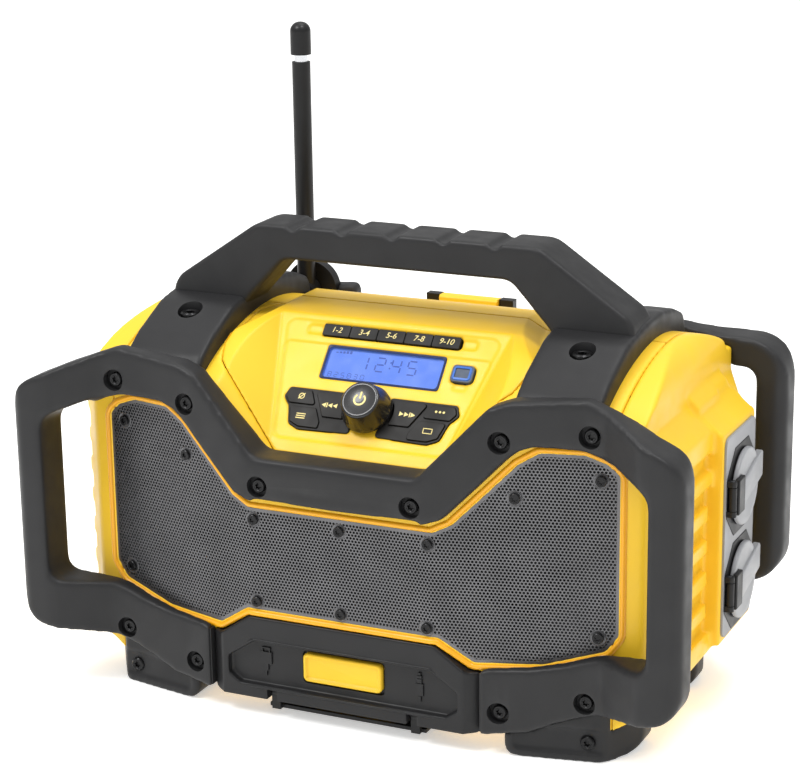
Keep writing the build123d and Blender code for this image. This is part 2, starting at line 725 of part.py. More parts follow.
# ---------------------------------------------------------------- feet
foot_plan = [(107, -99, 4), (168, -87, 6), (186, -60, 6), (186, -42, 4), (107, -42, 4)]
foot_front = [(107, 0, 9), (186, 0, 12), (186, 34, 0), (107, 34, 0)]
foot_panel = [(113, 5, 4), (176, 5, 6), (176, 22, 4), (113, 22, 4)]


def foot(side, end):
    """Foot of one corner; end is -1 at the front and 1 at the back."""
    sunk = [(side * x, end * y) for x, y in ((107, 97.2), (174, 84), (174, 130), (107, 130))]
    with BuildPart(mode=Mode.PRIVATE) as panel_cut:
        with BuildSketch(Plane.XY):
            with BuildLine():
                Polyline(*sunk, close=True)
            make_face()
        extrude(amount=40)
    with BuildPart(mode=Mode.PRIVATE) as solid:
        add(prism(Plane.XY, [(side * x, -end * y, r) for x, y, r in foot_plan], 0, 40))
        add(front_prism(flipped(foot_front, side), -130, 130), mode=Mode.INTERSECT)
        add(outer_form, mode=Mode.SUBTRACT)
        add(front_frame.part if end < 0 else rear_frame.part, mode=Mode.SUBTRACT)
        add(common(panel_cut.part, front_prism(flipped(foot_panel, side), -130, 130)), mode=Mode.SUBTRACT)
        add(foot_screw_set, mode=Mode.SUBTRACT)
        add(frame_screw_set, mode=Mode.SUBTRACT)
    return solid.part.solids().sort_by(SortBy.VOLUME)[-1]


with BuildPart() as front_feet:
    for side in (-1, 1):
        add(foot(side, -1))

with BuildPart() as rear_feet:
    for side in (-1, 1):
        add(foot(side, 1))

with BuildPart() as frame_screws:
    for screw_set in (frame_screw_set, rear_screw_set, foot_screw_set):
        add(screw_set)

with BuildPart() as grille_screws:
    add(grille_screw_set)

with BuildPart() as strap_bolts:
    add(strap_bolt_set)

# ---------------------------------------------------------------- front door, media bay
door_plan_right = [
    (0, -door_face, 0), (84, -door_face, 2), (door_half_width, -98, 2),
    (door_half_width, wing_y(door_half_width, door_back), 0), (wing_start, -door_back, 0),
    (0, -door_back, 0),
]
door_recess_right = [(0, 51.3, 0), (61.4, 51.3, 3), (80, 39, 3), (80, 27, 3), (72, 21.5, 3), (0, 21.5, 0)]
latch_x, latch_z = 27.4, (28.5, 47.7)
latch_face = 103.6
latch_gap = 0.35
hinge_ear = (46.0, 52.0)
hinge_pin_radius = 1.5

with BuildPart() as media_door:
    add(common(front_prism(door_outline, -115, -80), prism(Plane.XY, mirrored(door_plan_right), 0, 100)))
    add(front_prism(mirrored(door_recess_right), -110, -101), mode=Mode.SUBTRACT)
    add(box((-latch_x - latch_gap, latch_x + latch_gap), (-110, -90),
            (latch_z[0] - latch_gap, latch_z[1] + latch_gap)), mode=Mode.SUBTRACT)
    for side in (-1, 1):
        add(rod((side * 41, *door_axis), (side, 0, 0), 3.3, 16))
        slot = sorted((side * (hinge_ear[0] - 0.5), side * (hinge_ear[1] + 0.5)))
        add(box(slot, (-110, -90), (5, 20.6)), mode=Mode.SUBTRACT)
        add(rod((side * 40, *door_axis), (side, 0, 0), hinge_pin_radius + running, 18), mode=Mode.SUBTRACT)

with BuildPart() as media_latch:
    add(box((-latch_x, latch_x), (-latch_face, -96.4), latch_z))
    chamfer(media_latch.faces().sort_by(Axis.Y)[0].edges(), 1.6)
    add(box((-30, 30), (-98.6, -96.4), (26, 50.2)))

with BuildPart() as hinge_plate:
    add(box((-55, 55), (-97, -60), (4.5, 7)))
    for side in (-1, 1):
        ear = sorted((side * hinge_ear[0], side * hinge_ear[1]))
        add(box(ear, (-100.3, -95.7), (4.5, door_axis[1])))
        add(rod((side * hinge_ear[0], *door_axis), (side, 0, 0), 3.0, hinge_ear[1] - hinge_ear[0]))
        add(rod((side * 40, *door_axis), (side, 0, 0), hinge_pin_radius, 18), mode=Mode.SUBTRACT)
        add(box(sorted((side * 28, side * 52)), (-86, -62), (6.5, body_bottom)))

bay_outer = box((-74, 74), (-100, -52), (22.5, 59.5))
with BuildPart() as media_bay:
    add(common(wing_slab(body_front - front_wall, baffle_back), front_prism(door_outline, -130, -80, 3.5),
               box((-100, 100), (-130, 0), (21.5, 80))))
    add(common(wing_slab(body_front - front_wall, 88), box((-94.2, 94.2), (-130, 0), (21.5, 24))))
    add(box((-94.2, 94.2), (-91, -88.5), (16.5, 23)))
    add(common(bay_outer, wing_slab(body_front - front_wall, 40)))
    add(box((-71.5, 71.5), (-110, -54.5), (25, 57)), mode=Mode.SUBTRACT)

with BuildPart() as media_ports:
    add(box((18, 62), (-66, -54.5), (29, 51)))
    add(box((24, 38), (-70, -58), (37, 43)), mode=Mode.SUBTRACT)
    add(rod((51, -70, 40), (0, 1, 0), 3.2, 12), mode=Mode.SUBTRACT)

# ---------------------------------------------------------------- sockets on the right side
flap_radius = 23.0
flap_axis = (217.8, 9.0)  # x and y of the two hinge lines
flap_back = 215.2
panel_profile = [(5, 54, 6), (66, 54, 6), (66, 186, 6), (5, 186, 6)]

with BuildPart() as socket_panel:
    add(prism(Plane.YZ, panel_profile, socket_face, socket_face + 1.5))
    for height in outlet_heights:
        add(rod((200, outlet_y, height), (1, 0, 0), outlet_radius, 40), mode=Mode.SUBTRACT)


def outlet(height):
    """Round outlet insert with three slots."""
    with BuildPart(mode=Mode.PRIVATE) as solid:
        add(rod((186, outlet_y, height), (1, 0, 0), outlet_radius, 28.5))
        add(rod((200, outlet_y, height), (1, 0, 0), 17.5, 30), mode=Mode.SUBTRACT)
        for dy, dz in ((0, 8), (-7, -4), (7, -4)):
            add(box((192, 205), (outlet_y + dy - 1.2, outlet_y + dy + 1.2),
                    (height + dz - 3.5, height + dz + 3.5)), mode=Mode.SUBTRACT)
    return solid.part


with BuildPart() as outlet_inserts:
    for height in outlet_heights:
        add(outlet(height))


def flap(height):
    """Round splash flap with its hinge barrel, finger tab and raised band."""
    with BuildPart(mode=Mode.PRIVATE) as solid:
        add(rod((flap_back, outlet_y, height), (1, 0, 0), flap_radius, 3.4))
        add(box((216.0, flap_back + 3.4), (9, 24), (height - 7.6, height + 7.6)))
        add(box((flap_back, flap_back + 3.0), (56, 65.5), (height - 8, height + 8)))
        band = Plane(origin=(flap_back + 3.4, outlet_y, height), x_dir=(0, cos(radians(35)), sin(radians(35))),
                     z_dir=(1, 0, 0))
        add(common(prism(band, [(-24, -7, 1), (24, -7, 1), (24, 7, 1), (-24, 7, 1)], -0.5, 1.4),
                   rod((flap_back, outlet_y, height), (1, 0, 0), flap_radius - 0.8, 8)))
        add(rod((*flap_axis, height - 7.6), (0, 0, 1), 2.6, 15.2))
        add(rod((*flap_axis, height - 12), (0, 0, 1), 1.2 + running, 24), mode=Mode.SUBTRACT)
    return solid.part


with BuildPart() as outlet_flap_upper:
    add(flap(outlet_heights[0]))
with BuildPart() as outlet_flap_lower:
    add(flap(outlet_heights[1]))

with BuildPart() as flap_hinges:
    for height in outlet_heights:
        for low in (height - 11.6, height + 8.0):
            add(box((socket_face + 1.5, flap_axis[0]), (flap_axis[1] - 2.6, flap_axis[1] + 2.6),
                    (low, low + 3.6)))
            add(rod((*flap_axis, low), (0, 0, 1), 2.6, 3.6))
        add(rod((*flap_axis, height - 14), (0, 0, 1), 1.2, 28), mode=Mode.SUBTRACT)

# ---------------------------------------------------------------- antenna
mast_radius = 6.25
pivot_x, pivot_y, pivot_z = antenna_pivot

with BuildPart() as antenna_bracket:
    add(antenna_seat)
    add(rod((pivot_x, 84.2, pivot_z), (0, 1, 0), 3.0, 13))

with BuildPart() as antenna_mast:
    add(rod((pivot_x, 83.7, pivot_z), (0, 1, 0), 7.5, 12.9))
    add(rod((pivot_x, pivot_y, pivot_z + 2), (0, 0, 1), mast_radius, 391 - pivot_z - 2))
    add(rod((pivot_x, 80, pivot_z), (0, 1, 0), 3.0 + running, 20), mode=Mode.SUBTRACT)

with BuildPart() as antenna_neck:
    add(rod((pivot_x, pivot_y, 391), (0, 0, 1), 4.4, 5))

with BuildPart() as antenna_tip:
    add(rod((pivot_x, pivot_y, 396), (0, 0, 1), 7.0, 22))
    fillet(antenna_tip.faces().sort_by(Axis.Z)[-1].edges(), 6.5)

# ---------------------------------------------------------------- battery door, latch and bay
battery_axis = (108.0, 47.5)
latch_axis = (106.5, 229.0)
battery_door_outline = [(-82, 52, 4), (82, 52, 4), (82, 222, 4), (-82, 222, 4)]

with BuildPart() as battery_door:
    add(front_prism(battery_door_outline, 104.3, 112))
    add(front_prism([(-72, 62, 3), (72, 62, 3), (72, 210, 3), (-72, 210, 3)], 110.5, 116), mode=Mode.SUBTRACT)
    for side in (-1, 1):
        add(box(sorted((side * 40, side * 52)), (105, 111), (47.5, 53)))
        add(rod((side * 40, *battery_axis), (side, 0, 0), 3.2, 12))
        add(rod((side * 36, *battery_axis), (side, 0, 0), hinge_pin_radius + running, 20), mode=Mode.SUBTRACT)
        add(box(sorted((side * 22, side * 32)), (104.3, 111), (220, 234)))
    add(rod((-23, *latch_axis), (1, 0, 0), hinge_pin_radius, 46))

with BuildPart() as hinge_pins:
    for side in (-1, 1):
        add(rod((side * 41, *door_axis), (side, 0, 0), hinge_pin_radius, 16))
        add(rod((side * 35.8, *battery_axis), (side, 0, 0), hinge_pin_radius, 20.2))
    for height in outlet_heights:
        add(rod((*flap_axis, height - 11.6), (0, 0, 1), 1.2, 23.2))

with BuildPart() as battery_latch:
    add(box((-21.5, 21.5), (101.5, 110.5), (225, 234)))
    chamfer(battery_latch.edges().filter_by(Axis.X).sort_by(Axis.Z)[-2:], 1.5)
    add(box((-21.5, 21.5), (99, 102), (222.5, 230)))
    add(rod((-25, *latch_axis), (1, 0, 0), hinge_pin_radius + running, 50), mode=Mode.SUBTRACT)

with BuildPart() as battery_bay:
    add(box((-76.5, 76.5), (60, 101), (57.5, 214.5)))
    add(box((-72, 72), (62.5, 102), (62, 210)), mode=Mode.SUBTRACT)

with BuildPart() as battery_terminals:
    add(box((-26, 26), (62.5, 74), (96, 170)))
    for side in (-1, 1):
        add(box(sorted((side * 26, side * 30)), (70, 74), (96, 170)))
        add(box((side * 12 - 1.5, side * 12 + 1.5), (66, 80), (90, 140)), mode=Mode.SUBTRACT)

# ---------------------------------------------------------------- power supply
with BuildPart() as power_transformer:
    add(box((30, 92), (18, 54), (16.5, 30)))
    add(box((36, 86), (14, 58), (28, 66)))
    add(box((30, 92), (18, 54), (64, 76)))

with BuildPart() as charger_board:
    add(box((-96, -20), (40, 41.6), (16.5, 92)))
    for x, z in ((-80, 70), (-56, 70), (-36, 72)):
        add(rod((x, 40, z), (0, -1, 0), 8, 22))
    add(box((-86, -60), (24, 40), (26, 50)))

# ---------------------------------------------------------------- export
pieces = {name: piece for name, piece in dict(globals()).items() if isinstance(piece, BuildPart)}
for helper in ("shell_block", "strap_block"):
    pieces.pop(helper)
for name, piece in pieces.items():
    piece.part.label = name
    export_step(piece.part, f"parts/{name}.step")
    solids = piece.part.solids()
    print(f"{name:22s} solids {len(solids):2d}  volume {piece.part.volume / 1000:9.2f} cm3")
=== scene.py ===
import math

import bmesh
import bpy
from mathutils import Matrix, Vector


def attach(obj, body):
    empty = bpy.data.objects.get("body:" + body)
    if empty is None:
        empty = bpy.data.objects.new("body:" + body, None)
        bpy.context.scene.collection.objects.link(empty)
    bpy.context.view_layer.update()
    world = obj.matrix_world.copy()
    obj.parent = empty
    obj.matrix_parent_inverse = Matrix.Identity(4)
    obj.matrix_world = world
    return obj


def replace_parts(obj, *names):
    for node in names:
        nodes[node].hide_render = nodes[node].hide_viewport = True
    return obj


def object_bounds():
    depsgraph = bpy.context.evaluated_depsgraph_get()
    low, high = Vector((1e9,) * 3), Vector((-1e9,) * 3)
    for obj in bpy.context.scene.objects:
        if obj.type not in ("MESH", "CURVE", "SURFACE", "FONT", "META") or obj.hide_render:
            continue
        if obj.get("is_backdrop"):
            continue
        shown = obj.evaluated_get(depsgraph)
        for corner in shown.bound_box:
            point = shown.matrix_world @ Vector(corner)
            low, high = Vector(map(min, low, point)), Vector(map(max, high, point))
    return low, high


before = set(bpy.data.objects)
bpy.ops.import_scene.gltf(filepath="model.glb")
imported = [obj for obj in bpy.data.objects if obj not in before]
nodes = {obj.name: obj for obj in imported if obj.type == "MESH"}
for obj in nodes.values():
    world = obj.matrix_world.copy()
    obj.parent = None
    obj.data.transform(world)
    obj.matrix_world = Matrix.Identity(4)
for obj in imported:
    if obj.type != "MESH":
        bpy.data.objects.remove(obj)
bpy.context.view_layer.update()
MM = 0.001

# ---------------------------------------------------------------- materials
# Noise stays near its middle, so these spans of it are stretched to the full range.
CLOUD_SPAN = (0.3, 0.7)
GRAIN_SPAN = (0.35, 0.65)
# Rounded edges, found by pointiness, carry rubbing and a painted highlight.
RIM_SPAN = (0.505, 0.56)  # Pointiness of a rounded edge
GRAIN_TONE = 0.72  # tone of the grain, times the colour
GLOSS_SPREAD = 0.08  # how far the roughness wanders either way


def linear(code):
    """Linear colour of a hex code."""
    values = [int(code[i:i + 2], 16) / 255 for i in (0, 2, 4)]
    return tuple(v / 12.92 if v <= 0.04045 else ((v + 0.055) / 1.055) ** 2.4 for v in values) + (1.0,)


def scaled(colour, factor):
    return tuple(min(1.0, c * factor) for c in colour[:3]) + (1.0,)


def material(name, code, roughness=0.5, metallic=0.0, specular=0.5, coat=0.0, mottle=0.05, patch=16.0,
             grain=0.12, grain_size=900.0, height=0.03, edge=0.0, wear_and_highlight=0.0, dust_and_highlight=None, glow=0.0):
    """Moulded, painted or rubber surface: cloudy tone, fine grain and uneven gloss.

    height (of the grain) and edge (a rounding that only the shading shows) are in millimetres.
    wear is how much of the colour dust shows on rounded edges: partly rubbed edges, partly a painted
    highlight along them.
    """
    made = bpy.data.materials.new(name)
    made.use_nodes = True
    tree, colour = made.node_tree, linear(code)
    shader = tree.nodes["Principled BSDF"]

    def add(kind, **inputs):
        node = tree.nodes.new(kind)
        for key, value in inputs.items():
            node.inputs[key.replace("_", " ")].default_value = value
        return node

    def mix(factor, first, second):
        node = tree.nodes.new("ShaderNodeMix")
        node.data_type = "RGBA"
        inputs = (node.inputs["Factor"], node.inputs[6], node.inputs[7])
        for socket, value in zip(inputs, (factor, first, second)):
            if isinstance(value, bpy.types.NodeSocket):
                tree.links.new(value, socket)
            else:
                socket.default_value = value
        return node.outputs[2]

    def ranged(value, span, low, high):
        node = add("ShaderNodeMapRange", From_Min=span[0], From_Max=span[1], To_Min=low, To_Max=high)
        tree.links.new(value, node.inputs["Value"])
        return node.outputs["Result"]

    place = tree.nodes.new("ShaderNodeTexCoord").outputs["Object"]

    def noise(scale, detail=3.0):
        node = add("ShaderNodeTexNoise", Scale=scale, Detail=detail)
        tree.links.new(place, node.inputs["Vector"])
        return node.outputs["Fac"]

    clouds, speckle = noise(patch), noise(grain_size, 2.0)
    tone = mix(ranged(clouds, CLOUD_SPAN, 0, 1), scaled(colour, 1 - mottle), scaled(colour, 1 + mottle))
    tone = mix(ranged(speckle, GRAIN_SPAN, 0, grain), tone, scaled(colour, GRAIN_TONE))
    # Rounded edges turn lighter: partly rubbing, partly a painted highlight where light catches an edge.
    if wear_and_highlight:
        geometry = tree.nodes.new("ShaderNodeNewGeometry")
        rim_wear_and_highlight = tree.nodes.new("ShaderNodeMath")
        rim_wear_and_highlight.operation = "MULTIPLY"
        tree.links.new(ranged(geometry.outputs["Pointiness"], RIM_SPAN, 0, wear_and_highlight), rim_wear_and_highlight.inputs[0])
        tree.links.new(ranged(noise(60.0), GRAIN_SPAN, 0.3, 1), rim_wear_and_highlight.inputs[1])
        tone = mix(rim_wear_and_highlight.outputs[0], tone, linear(dust_and_highlight))
    tree.links.new(tone, shader.inputs["Base Color"])
    gloss = ranged(noise(patch * 4), CLOUD_SPAN, roughness - GLOSS_SPREAD, roughness + GLOSS_SPREAD)
    tree.links.new(gloss, shader.inputs["Roughness"])
    bump = add("ShaderNodeBump", Strength=0.6, Distance=height * MM)
    tree.links.new(speckle, bump.inputs["Height"])
    if edge:
        soft = add("ShaderNodeBevel", Radius=edge * MM)
        soft.samples = 6
        tree.links.new(soft.outputs["Normal"], bump.inputs["Normal"])
    tree.links.new(bump.outputs["Normal"], shader.inputs["Normal"])
    shader.inputs["Metallic"].default_value = metallic
    shader.inputs["Specular IOR Level"].default_value = specular
    shader.inputs["Coat Weight"].default_value = coat
    if glow:
        tree.links.new(tone, shader.inputs["Emission Color"])
        shader.inputs["Emission Strength"].default_value = glow
    return made


def clear_material(name):
    """Clear window: nearly all light passes, with a gloss on top."""
    made = bpy.data.materials.new(name)
    made.use_nodes = True
    tree = made.node_tree
    tree.nodes.clear()
    out = tree.nodes.new("ShaderNodeOutputMaterial")
    blend = tree.nodes.new("ShaderNodeMixShader")
    clear = tree.nodes.new("ShaderNodeBsdfTransparent")
    gloss = tree.nodes.new("ShaderNodeBsdfPrincipled")
    facing = tree.nodes.new("ShaderNodeFresnel")
    haze = tree.nodes.new("ShaderNodeTexNoise")
    range_node = tree.nodes.new("ShaderNodeMapRange")
    facing.inputs["IOR"].default_value = 1.35
    clear.inputs["Color"].default_value = linear("EEF3FF")
    gloss.inputs["Base Color"].default_value = linear("2A2F38")
    haze.inputs["Scale"].default_value = 120.0
    range_node.inputs["To Min"].default_value = 0.04
    range_node.inputs["To Max"].default_value = 0.16
    tree.links.new(haze.outputs["Fac"], range_node.inputs["Value"])
    tree.links.new(range_node.outputs["Result"], gloss.inputs["Roughness"])
    tree.links.new(facing.outputs["Fac"], blend.inputs["Fac"])
    tree.links.new(clear.outputs["BSDF"], blend.inputs[1])
    tree.links.new(gloss.outputs["BSDF"], blend.inputs[2])
    tree.links.new(blend.outputs["Shader"], out.inputs["Surface"])
    return made


MOULDED = {"specular": 0.3, "coat": 0.04, "mottle": 0.03, "grain": 0.04, "grain_size": 1400, "height": 0.012}
OVERMOULD = {"specular": 0.26, "mottle": 0.08, "grain": 0.2, "grain_size": 1700}

YELLOW = material("yellow_moulding", "F2C42E", 0.4, edge=2.0, **MOULDED)
YELLOW_SOFT = material("yellow_cover", "F2C42E", 0.4, **MOULDED)
# The bead is the housing's yellow plastic; its deeper orange is painted shade of its rounded form.
BEAD_SHADED_YELLOW = material("bead_painted_shade", "EFA80C", 0.36, mottle=0.05, grain=0.06, grain_size=1400, height=0.015)
# Its rounded edges are lightened to grey, partly as rubbing and partly as a painted edge highlight.
RUBBER = material("overmould_rubber", "262627", 0.46, height=0.025, wear_and_highlight=0.2, dust_and_highlight="4A4A4A", **OVERMOULD)
RUBBER_HARD = material("hard_rubber", "262627", 0.46, height=0.03, edge=0.9, **OVERMOULD)
DOOR = material("door_plastic", "222223", 0.38, specular=0.25, mottle=0.06, grain=0.15, grain_size=1500,
                height=0.02)
KEYS = material("key_rubber", "242322", 0.5, specular=0.2, mottle=0.06, grain=0.2, grain_size=2200,
                height=0.02, edge=0.5)
BLACK = material("black_plastic", "1C1C1D", 0.4, specular=0.25, mottle=0.08, grain=0.15, grain_size=1500,
                 height=0.02, edge=0.8)
GLOSS_BLACK = material("gloss_black", "1B1B1C", 0.27, specular=0.55, coat=0.25, mottle=0.08, grain=0.1,
                       grain_size=1800, height=0.01)
SCREW = material("black_steel", "202021", 0.3, metallic=0.65, mottle=0.15, patch=90, grain=0.2,
                 grain_size=2500, height=0.01)
GRILLE = material("grille_paint", "656567", 0.34, metallic=0.65, mottle=0.14, patch=40, grain=0.15,
                  grain_size=2000, height=0.012)
BAFFLE = material("baffle_black", "0D0D0E", 0.75, mottle=0.2, grain=0.2)
SPEAKER = material("speaker_cone", "151516", 0.6, mottle=0.15, grain=0.3, grain_size=1200)
GREY = material("grey_plastic", "8F9093", 0.42, mottle=0.05, grain=0.08, grain_size=1600, height=0.02,
                edge=0.7)
FLAP = material("flap_rubber", "97989B", 0.42, mottle=0.06, grain=0.08, grain_size=1800, height=0.02,
                edge=0.8)
LCD = material("lcd_panel", "6288DC", 0.45, mottle=0.05, patch=30, grain=0.04, grain_size=3000, glow=0.3)
LCD_INK = material("lcd_ink", "3F62BA", 0.5, mottle=0.05, grain=0.05)
LEGEND = material("legend_ink", "E9D78C", 0.55, mottle=0.06, patch=200, grain=0.1, grain_size=3500)
NAVY = material("display_edge", "16264F", 0.4, specular=0.3, mottle=0.06, grain=0.05)
BLUE_RIM = material("pairing_rim", "2F66BE", 0.35, coat=0.1, mottle=0.1, grain=0.05, glow=0.1)
SLATE = material("pairing_face", "4C5666", 0.45, specular=0.25, mottle=0.08, patch=80, grain=0.05)
CLEAR = clear_material("clear_window")
CHROME = material("chrome", "D4D5D8", 0.18, metallic=1.0, mottle=0.05, patch=120, grain=0.05)
STEEL = material("bright_steel", "9A9B9E", 0.32, metallic=0.9, mottle=0.1, patch=120, grain=0.1)
BOARD = material("circuit_board", "1E5B36", 0.45, coat=0.2, mottle=0.2, patch=300, grain=0.3,
                 grain_size=1500)
IRON = material("laminated_iron", "4C4A48", 0.5, metallic=0.6, mottle=0.2, patch=100, grain=0.3)

DRESS = {
    YELLOW: ["front_housing", "rear_housing", "side_cover_left", "side_cover_right", "control_fascia",
             "media_latch", "battery_latch"],
    RUBBER_HARD: ["front_frame", "rear_frame", "strap_left", "strap_right", "carry_handle", "front_feet",
                  "rear_feet"],
    KEYS: ["keypad_bezels", "key_mute", "key_menu", "key_previous", "key_next", "key_mode", "key_display",
           "preset_key_1", "preset_key_2", "preset_key_3", "preset_key_4", "preset_key_5"],
    BLACK: ["media_door", "hinge_plate", "media_bay", "media_ports", "battery_door", "battery_bay",
            "antenna_mast", "antenna_tip", "antenna_bracket", "outlet_inserts", "flap_hinges",
            "key_membrane"],
    GLOSS_BLACK: ["volume_knob"],
    SCREW: ["frame_screws", "grille_screws", "strap_bolts"],
    GRILLE: ["speaker_grille"],
    BAFFLE: ["speaker_baffle"],
    SPEAKER: ["speaker_left", "speaker_right"],
    GREY: ["socket_panel"],
    FLAP: ["outlet_flap_upper", "outlet_flap_lower"],
    LCD: ["display_module"],
    CLEAR: ["display_window"],
    SLATE: ["pairing_button"],
    CHROME: ["antenna_neck"],
    STEEL: ["hinge_pins", "encoder_plunger", "battery_terminals"],
    BOARD: ["control_board", "charger_board"],
    IRON: ["power_transformer"],
}
for finish, names in DRESS.items():
    for name in names:
        mesh = nodes[name].data
        mesh.materials.clear()
        mesh.materials.append(finish)


# ---------------------------------------------------------------- objects and modifiers
def linked(name, data):
    made = bpy.data.objects.new(name, data)
    bpy.context.scene.collection.objects.link(made)
    return made


def mesh_of(name, bm):
    """Mesh of a bmesh, which is used up."""
    mesh = bpy.data.meshes.new(name)
    bm.to_mesh(mesh)
    bm.free()
    return mesh


def shown(name, mesh, finish, body, smooth=30.0):
    """Object shaded smooth below an angle, riding on a body."""
    mesh.materials.clear()
    mesh.materials.append(finish)
    mesh.shade_smooth()
    mesh.set_sharp_from_angle(angle=math.radians(smooth))
    made = linked(name, mesh)
    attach(made, body)
    return made


def piece(name, bm, finish, body, smooth=30.0):
    """Object from a bmesh, as in shown."""
    bmesh.ops.recalc_face_normals(bm, faces=bm.faces)
    return shown(name, mesh_of(name, bm), finish, body, smooth)


def evaluated(mesh, steps, free=None):
    """Mesh after modifiers (type, settings); free gives each place its weight in the group "free"."""
    work = linked("work", mesh)
    if free:
        group = work.vertex_groups.new(name="free")
        for v in mesh.vertices:
            group.add([v.index], free(v.co / MM), "REPLACE")
    for kind, settings in steps:
        modifier = work.modifiers.new(kind, kind)
        for key, value in settings.items():
            setattr(modifier, key, value)
    return baked(work)


def baked(work):
    """Mesh of an object as its modifiers or its curve make it; the object goes."""
    graph = bpy.context.evaluated_depsgraph_get()
    made = bpy.data.meshes.new_from_object(work.evaluated_get(graph))
    bpy.data.objects.remove(work)
    return made


def cut_by(bm):
    """Modifier step that takes away the closed forms of a bmesh, and the object to remove after it."""
    bmesh.ops.recalc_face_normals(bm, faces=bm.faces)
    cutter = linked("cutter", mesh_of("cutter", bm))
    return ("BOOLEAN", {"operation": "DIFFERENCE", "object": cutter, "solver": "EXACT"}), cutter


def carved(bm, cuts):
    """Mesh of a bmesh with the forms of another cut out of it."""
    step, cutter = cut_by(cuts)
    mesh = evaluated(mesh_of("work", bm), [step])
    bpy.data.objects.remove(cutter)
    return mesh


def joined(parts):
    """One bmesh from meshes and bmeshes."""
    whole = bmesh.new()
    for part in parts:
        whole.from_mesh(mesh_of("part", part) if isinstance(part, bmesh.types.BMesh) else part)
    return whole


# ---------------------------------------------------------------- outlines and forms, in millimetres
def placed(origin, z_dir, x_dir=None):
    """Matrix of a local frame."""
    z = Vector(z_dir).normalized()
    x = Vector(x_dir) if x_dir else z.orthogonal()
    x = (x - z * x.dot(z)).normalized()
    y = z.cross(x)
    return Matrix.Translation(Vector(origin)) @ Matrix((x, y, z)).transposed().to_4x4()


def rounded(corners, steps=5):
    """Points of an outline with rounded corners (x, y, radius)."""
    points, count = [], len(corners)
    for i, (x, y, r) in enumerate(corners):
        here = Vector((x, y))
        a = (Vector(corners[i - 1][:2]) - here).normalized()
        b = (Vector(corners[(i + 1) % count][:2]) - here).normalized()
        if r <= 0 or abs(a.dot(b)) > 0.9999:
            points.append(here)
            continue
        half = math.acos(max(-1, min(1, a.dot(b)))) / 2
        cut = r / math.tan(half)
        centre = here + (a + b).normalized() * (r / math.sin(half))
        first, last = here + a * cut - centre, here + b * cut - centre
        sweep = first.angle_signed(last)
        for k in range(steps + 1):
            turn = Matrix.Rotation(-sweep * k / steps, 2)
            points.append(centre + turn @ first)
    return points


def rectangle(x0, y0, x1, y1, radius=0.0, steps=5):
    return rounded([(x0, y0, radius), (x1, y0, radius), (x1, y1, radius), (x0, y1, radius)], steps)


def mirrored(right):
    """Outline from its right half; corners on the middle line aren't doubled."""
    return list(right) + [(-x, y, r) for x, y, r in reversed(right) if x > 0]


def offset_outline(points, amount):
    """Outline moved outwards by amount; points run clockwise or not."""
    area = sum(a.x * b.y - b.x * a.y for a, b in zip(points, points[1:] + points[:1]))
    turn = 1 if area > 0 else -1
    moved = []
    for i, here in enumerate(points):
        along = (points[(i + 1) % len(points)] - points[i - 1]).normalized()
        moved.append(here + Vector((along.y, -along.x)) * amount * turn)
    return moved


def resampled(points, step):
    """Closed outline with points no further apart than step."""
    dense = []
    for i, here in enumerate(points):
        there = points[(i + 1) % len(points)]
        count = max(1, math.ceil((there - here).length / step))
        dense += [here.lerp(there, k / count) for k in range(count)]
    return dense


def grid(bm, rings, capped=False):
    """Quads between rings of points; the ends can be closed."""
    rows = [[bm.verts.new(Vector(p) * MM) for p in ring] for ring in rings]
    count = len(rows[0])
    for low, high in zip(rows, rows[1:]):
        for i in range(count):
            j = (i + 1) % count
            bm.faces.new((low[i], low[j], high[j], high[i]))
    if capped:
        bm.faces.new(rows[0])
        bm.faces.new(rows[-1])


def layered(bm, place, layers, capped=True):
    """Skin through outlines at levels of a local frame; layers are (outline, level)."""
    grid(bm, [[place @ Vector((p[0], p[1], level)) for p in line] for line, level in layers], capped)


def plate(bm, place, points, low, high):
    """Thin plate with a polygon outline in a local frame."""
    layered(bm, place, [(points, low), (points, high)])


def bar(bm, place, x0, y0, x1, y1, low, high):
    """Thin plate with a rectangular outline."""
    plate(bm, place, rectangle(x0, y0, x1, y1), low, high)


def ring_sector(bm, place, inner, outer, start, end, low, high, steps=28):
    """Part of a flat ring between two angles in degrees."""
    angles = [math.radians(start + (end - start) * k / steps) for k in range(steps + 1)]
    points = [(outer * math.cos(a), outer * math.sin(a)) for a in angles]
    points += [(inner * math.cos(a), inner * math.sin(a)) for a in reversed(angles)]
    plate(bm, place, points, low, high)


def circle(radius, segments):
    """Points of a circle; radius is a number or a function of the angle."""
    points = []
    for k in range(segments):
        angle = 2 * math.pi * k / segments
        r = radius(angle) if callable(radius) else radius
        points.append((r * math.cos(angle), r * math.sin(angle)))
    return points


def turned(bm, place, profile, segments=48, capped=True):
    """Solid of revolution, or a ring where it isn't capped; profile is (radius as in circle, height)."""
    layered(bm, place, [(circle(radius, segments), height) for radius, height in profile], capped)


def prism_y(points, front, back):
    """Closed prism with an outline (x, z) between two values of y."""
    bm = bmesh.new()
    grid(bm, [[(p[0], y, p[1]) for p in points] for y in (front, back)], True)
    bmesh.ops.recalc_face_normals(bm, faces=bm.faces)
    return bm


def prism_x(points, low, high):
    """Closed prism with an outline (y, z) between two values of x."""
    bm = bmesh.new()
    grid(bm, [[(x, p[0], p[1]) for p in points] for x in (low, high)], True)
    bmesh.ops.recalc_face_normals(bm, faces=bm.faces)
    return bm


def block(x_range, y_range, z_range):
    return prism_y(rectangle(x_range[0], z_range[0], x_range[1], z_range[1]), *y_range)


def bored(bores, length):
    """Cylinders for crisp bores (point, direction, radius)."""
    bm = bmesh.new()
    for point, direction, radius in bores:
        turned(bm, placed(point, direction), [(radius, 0), (radius, length)], 64)
    return bm


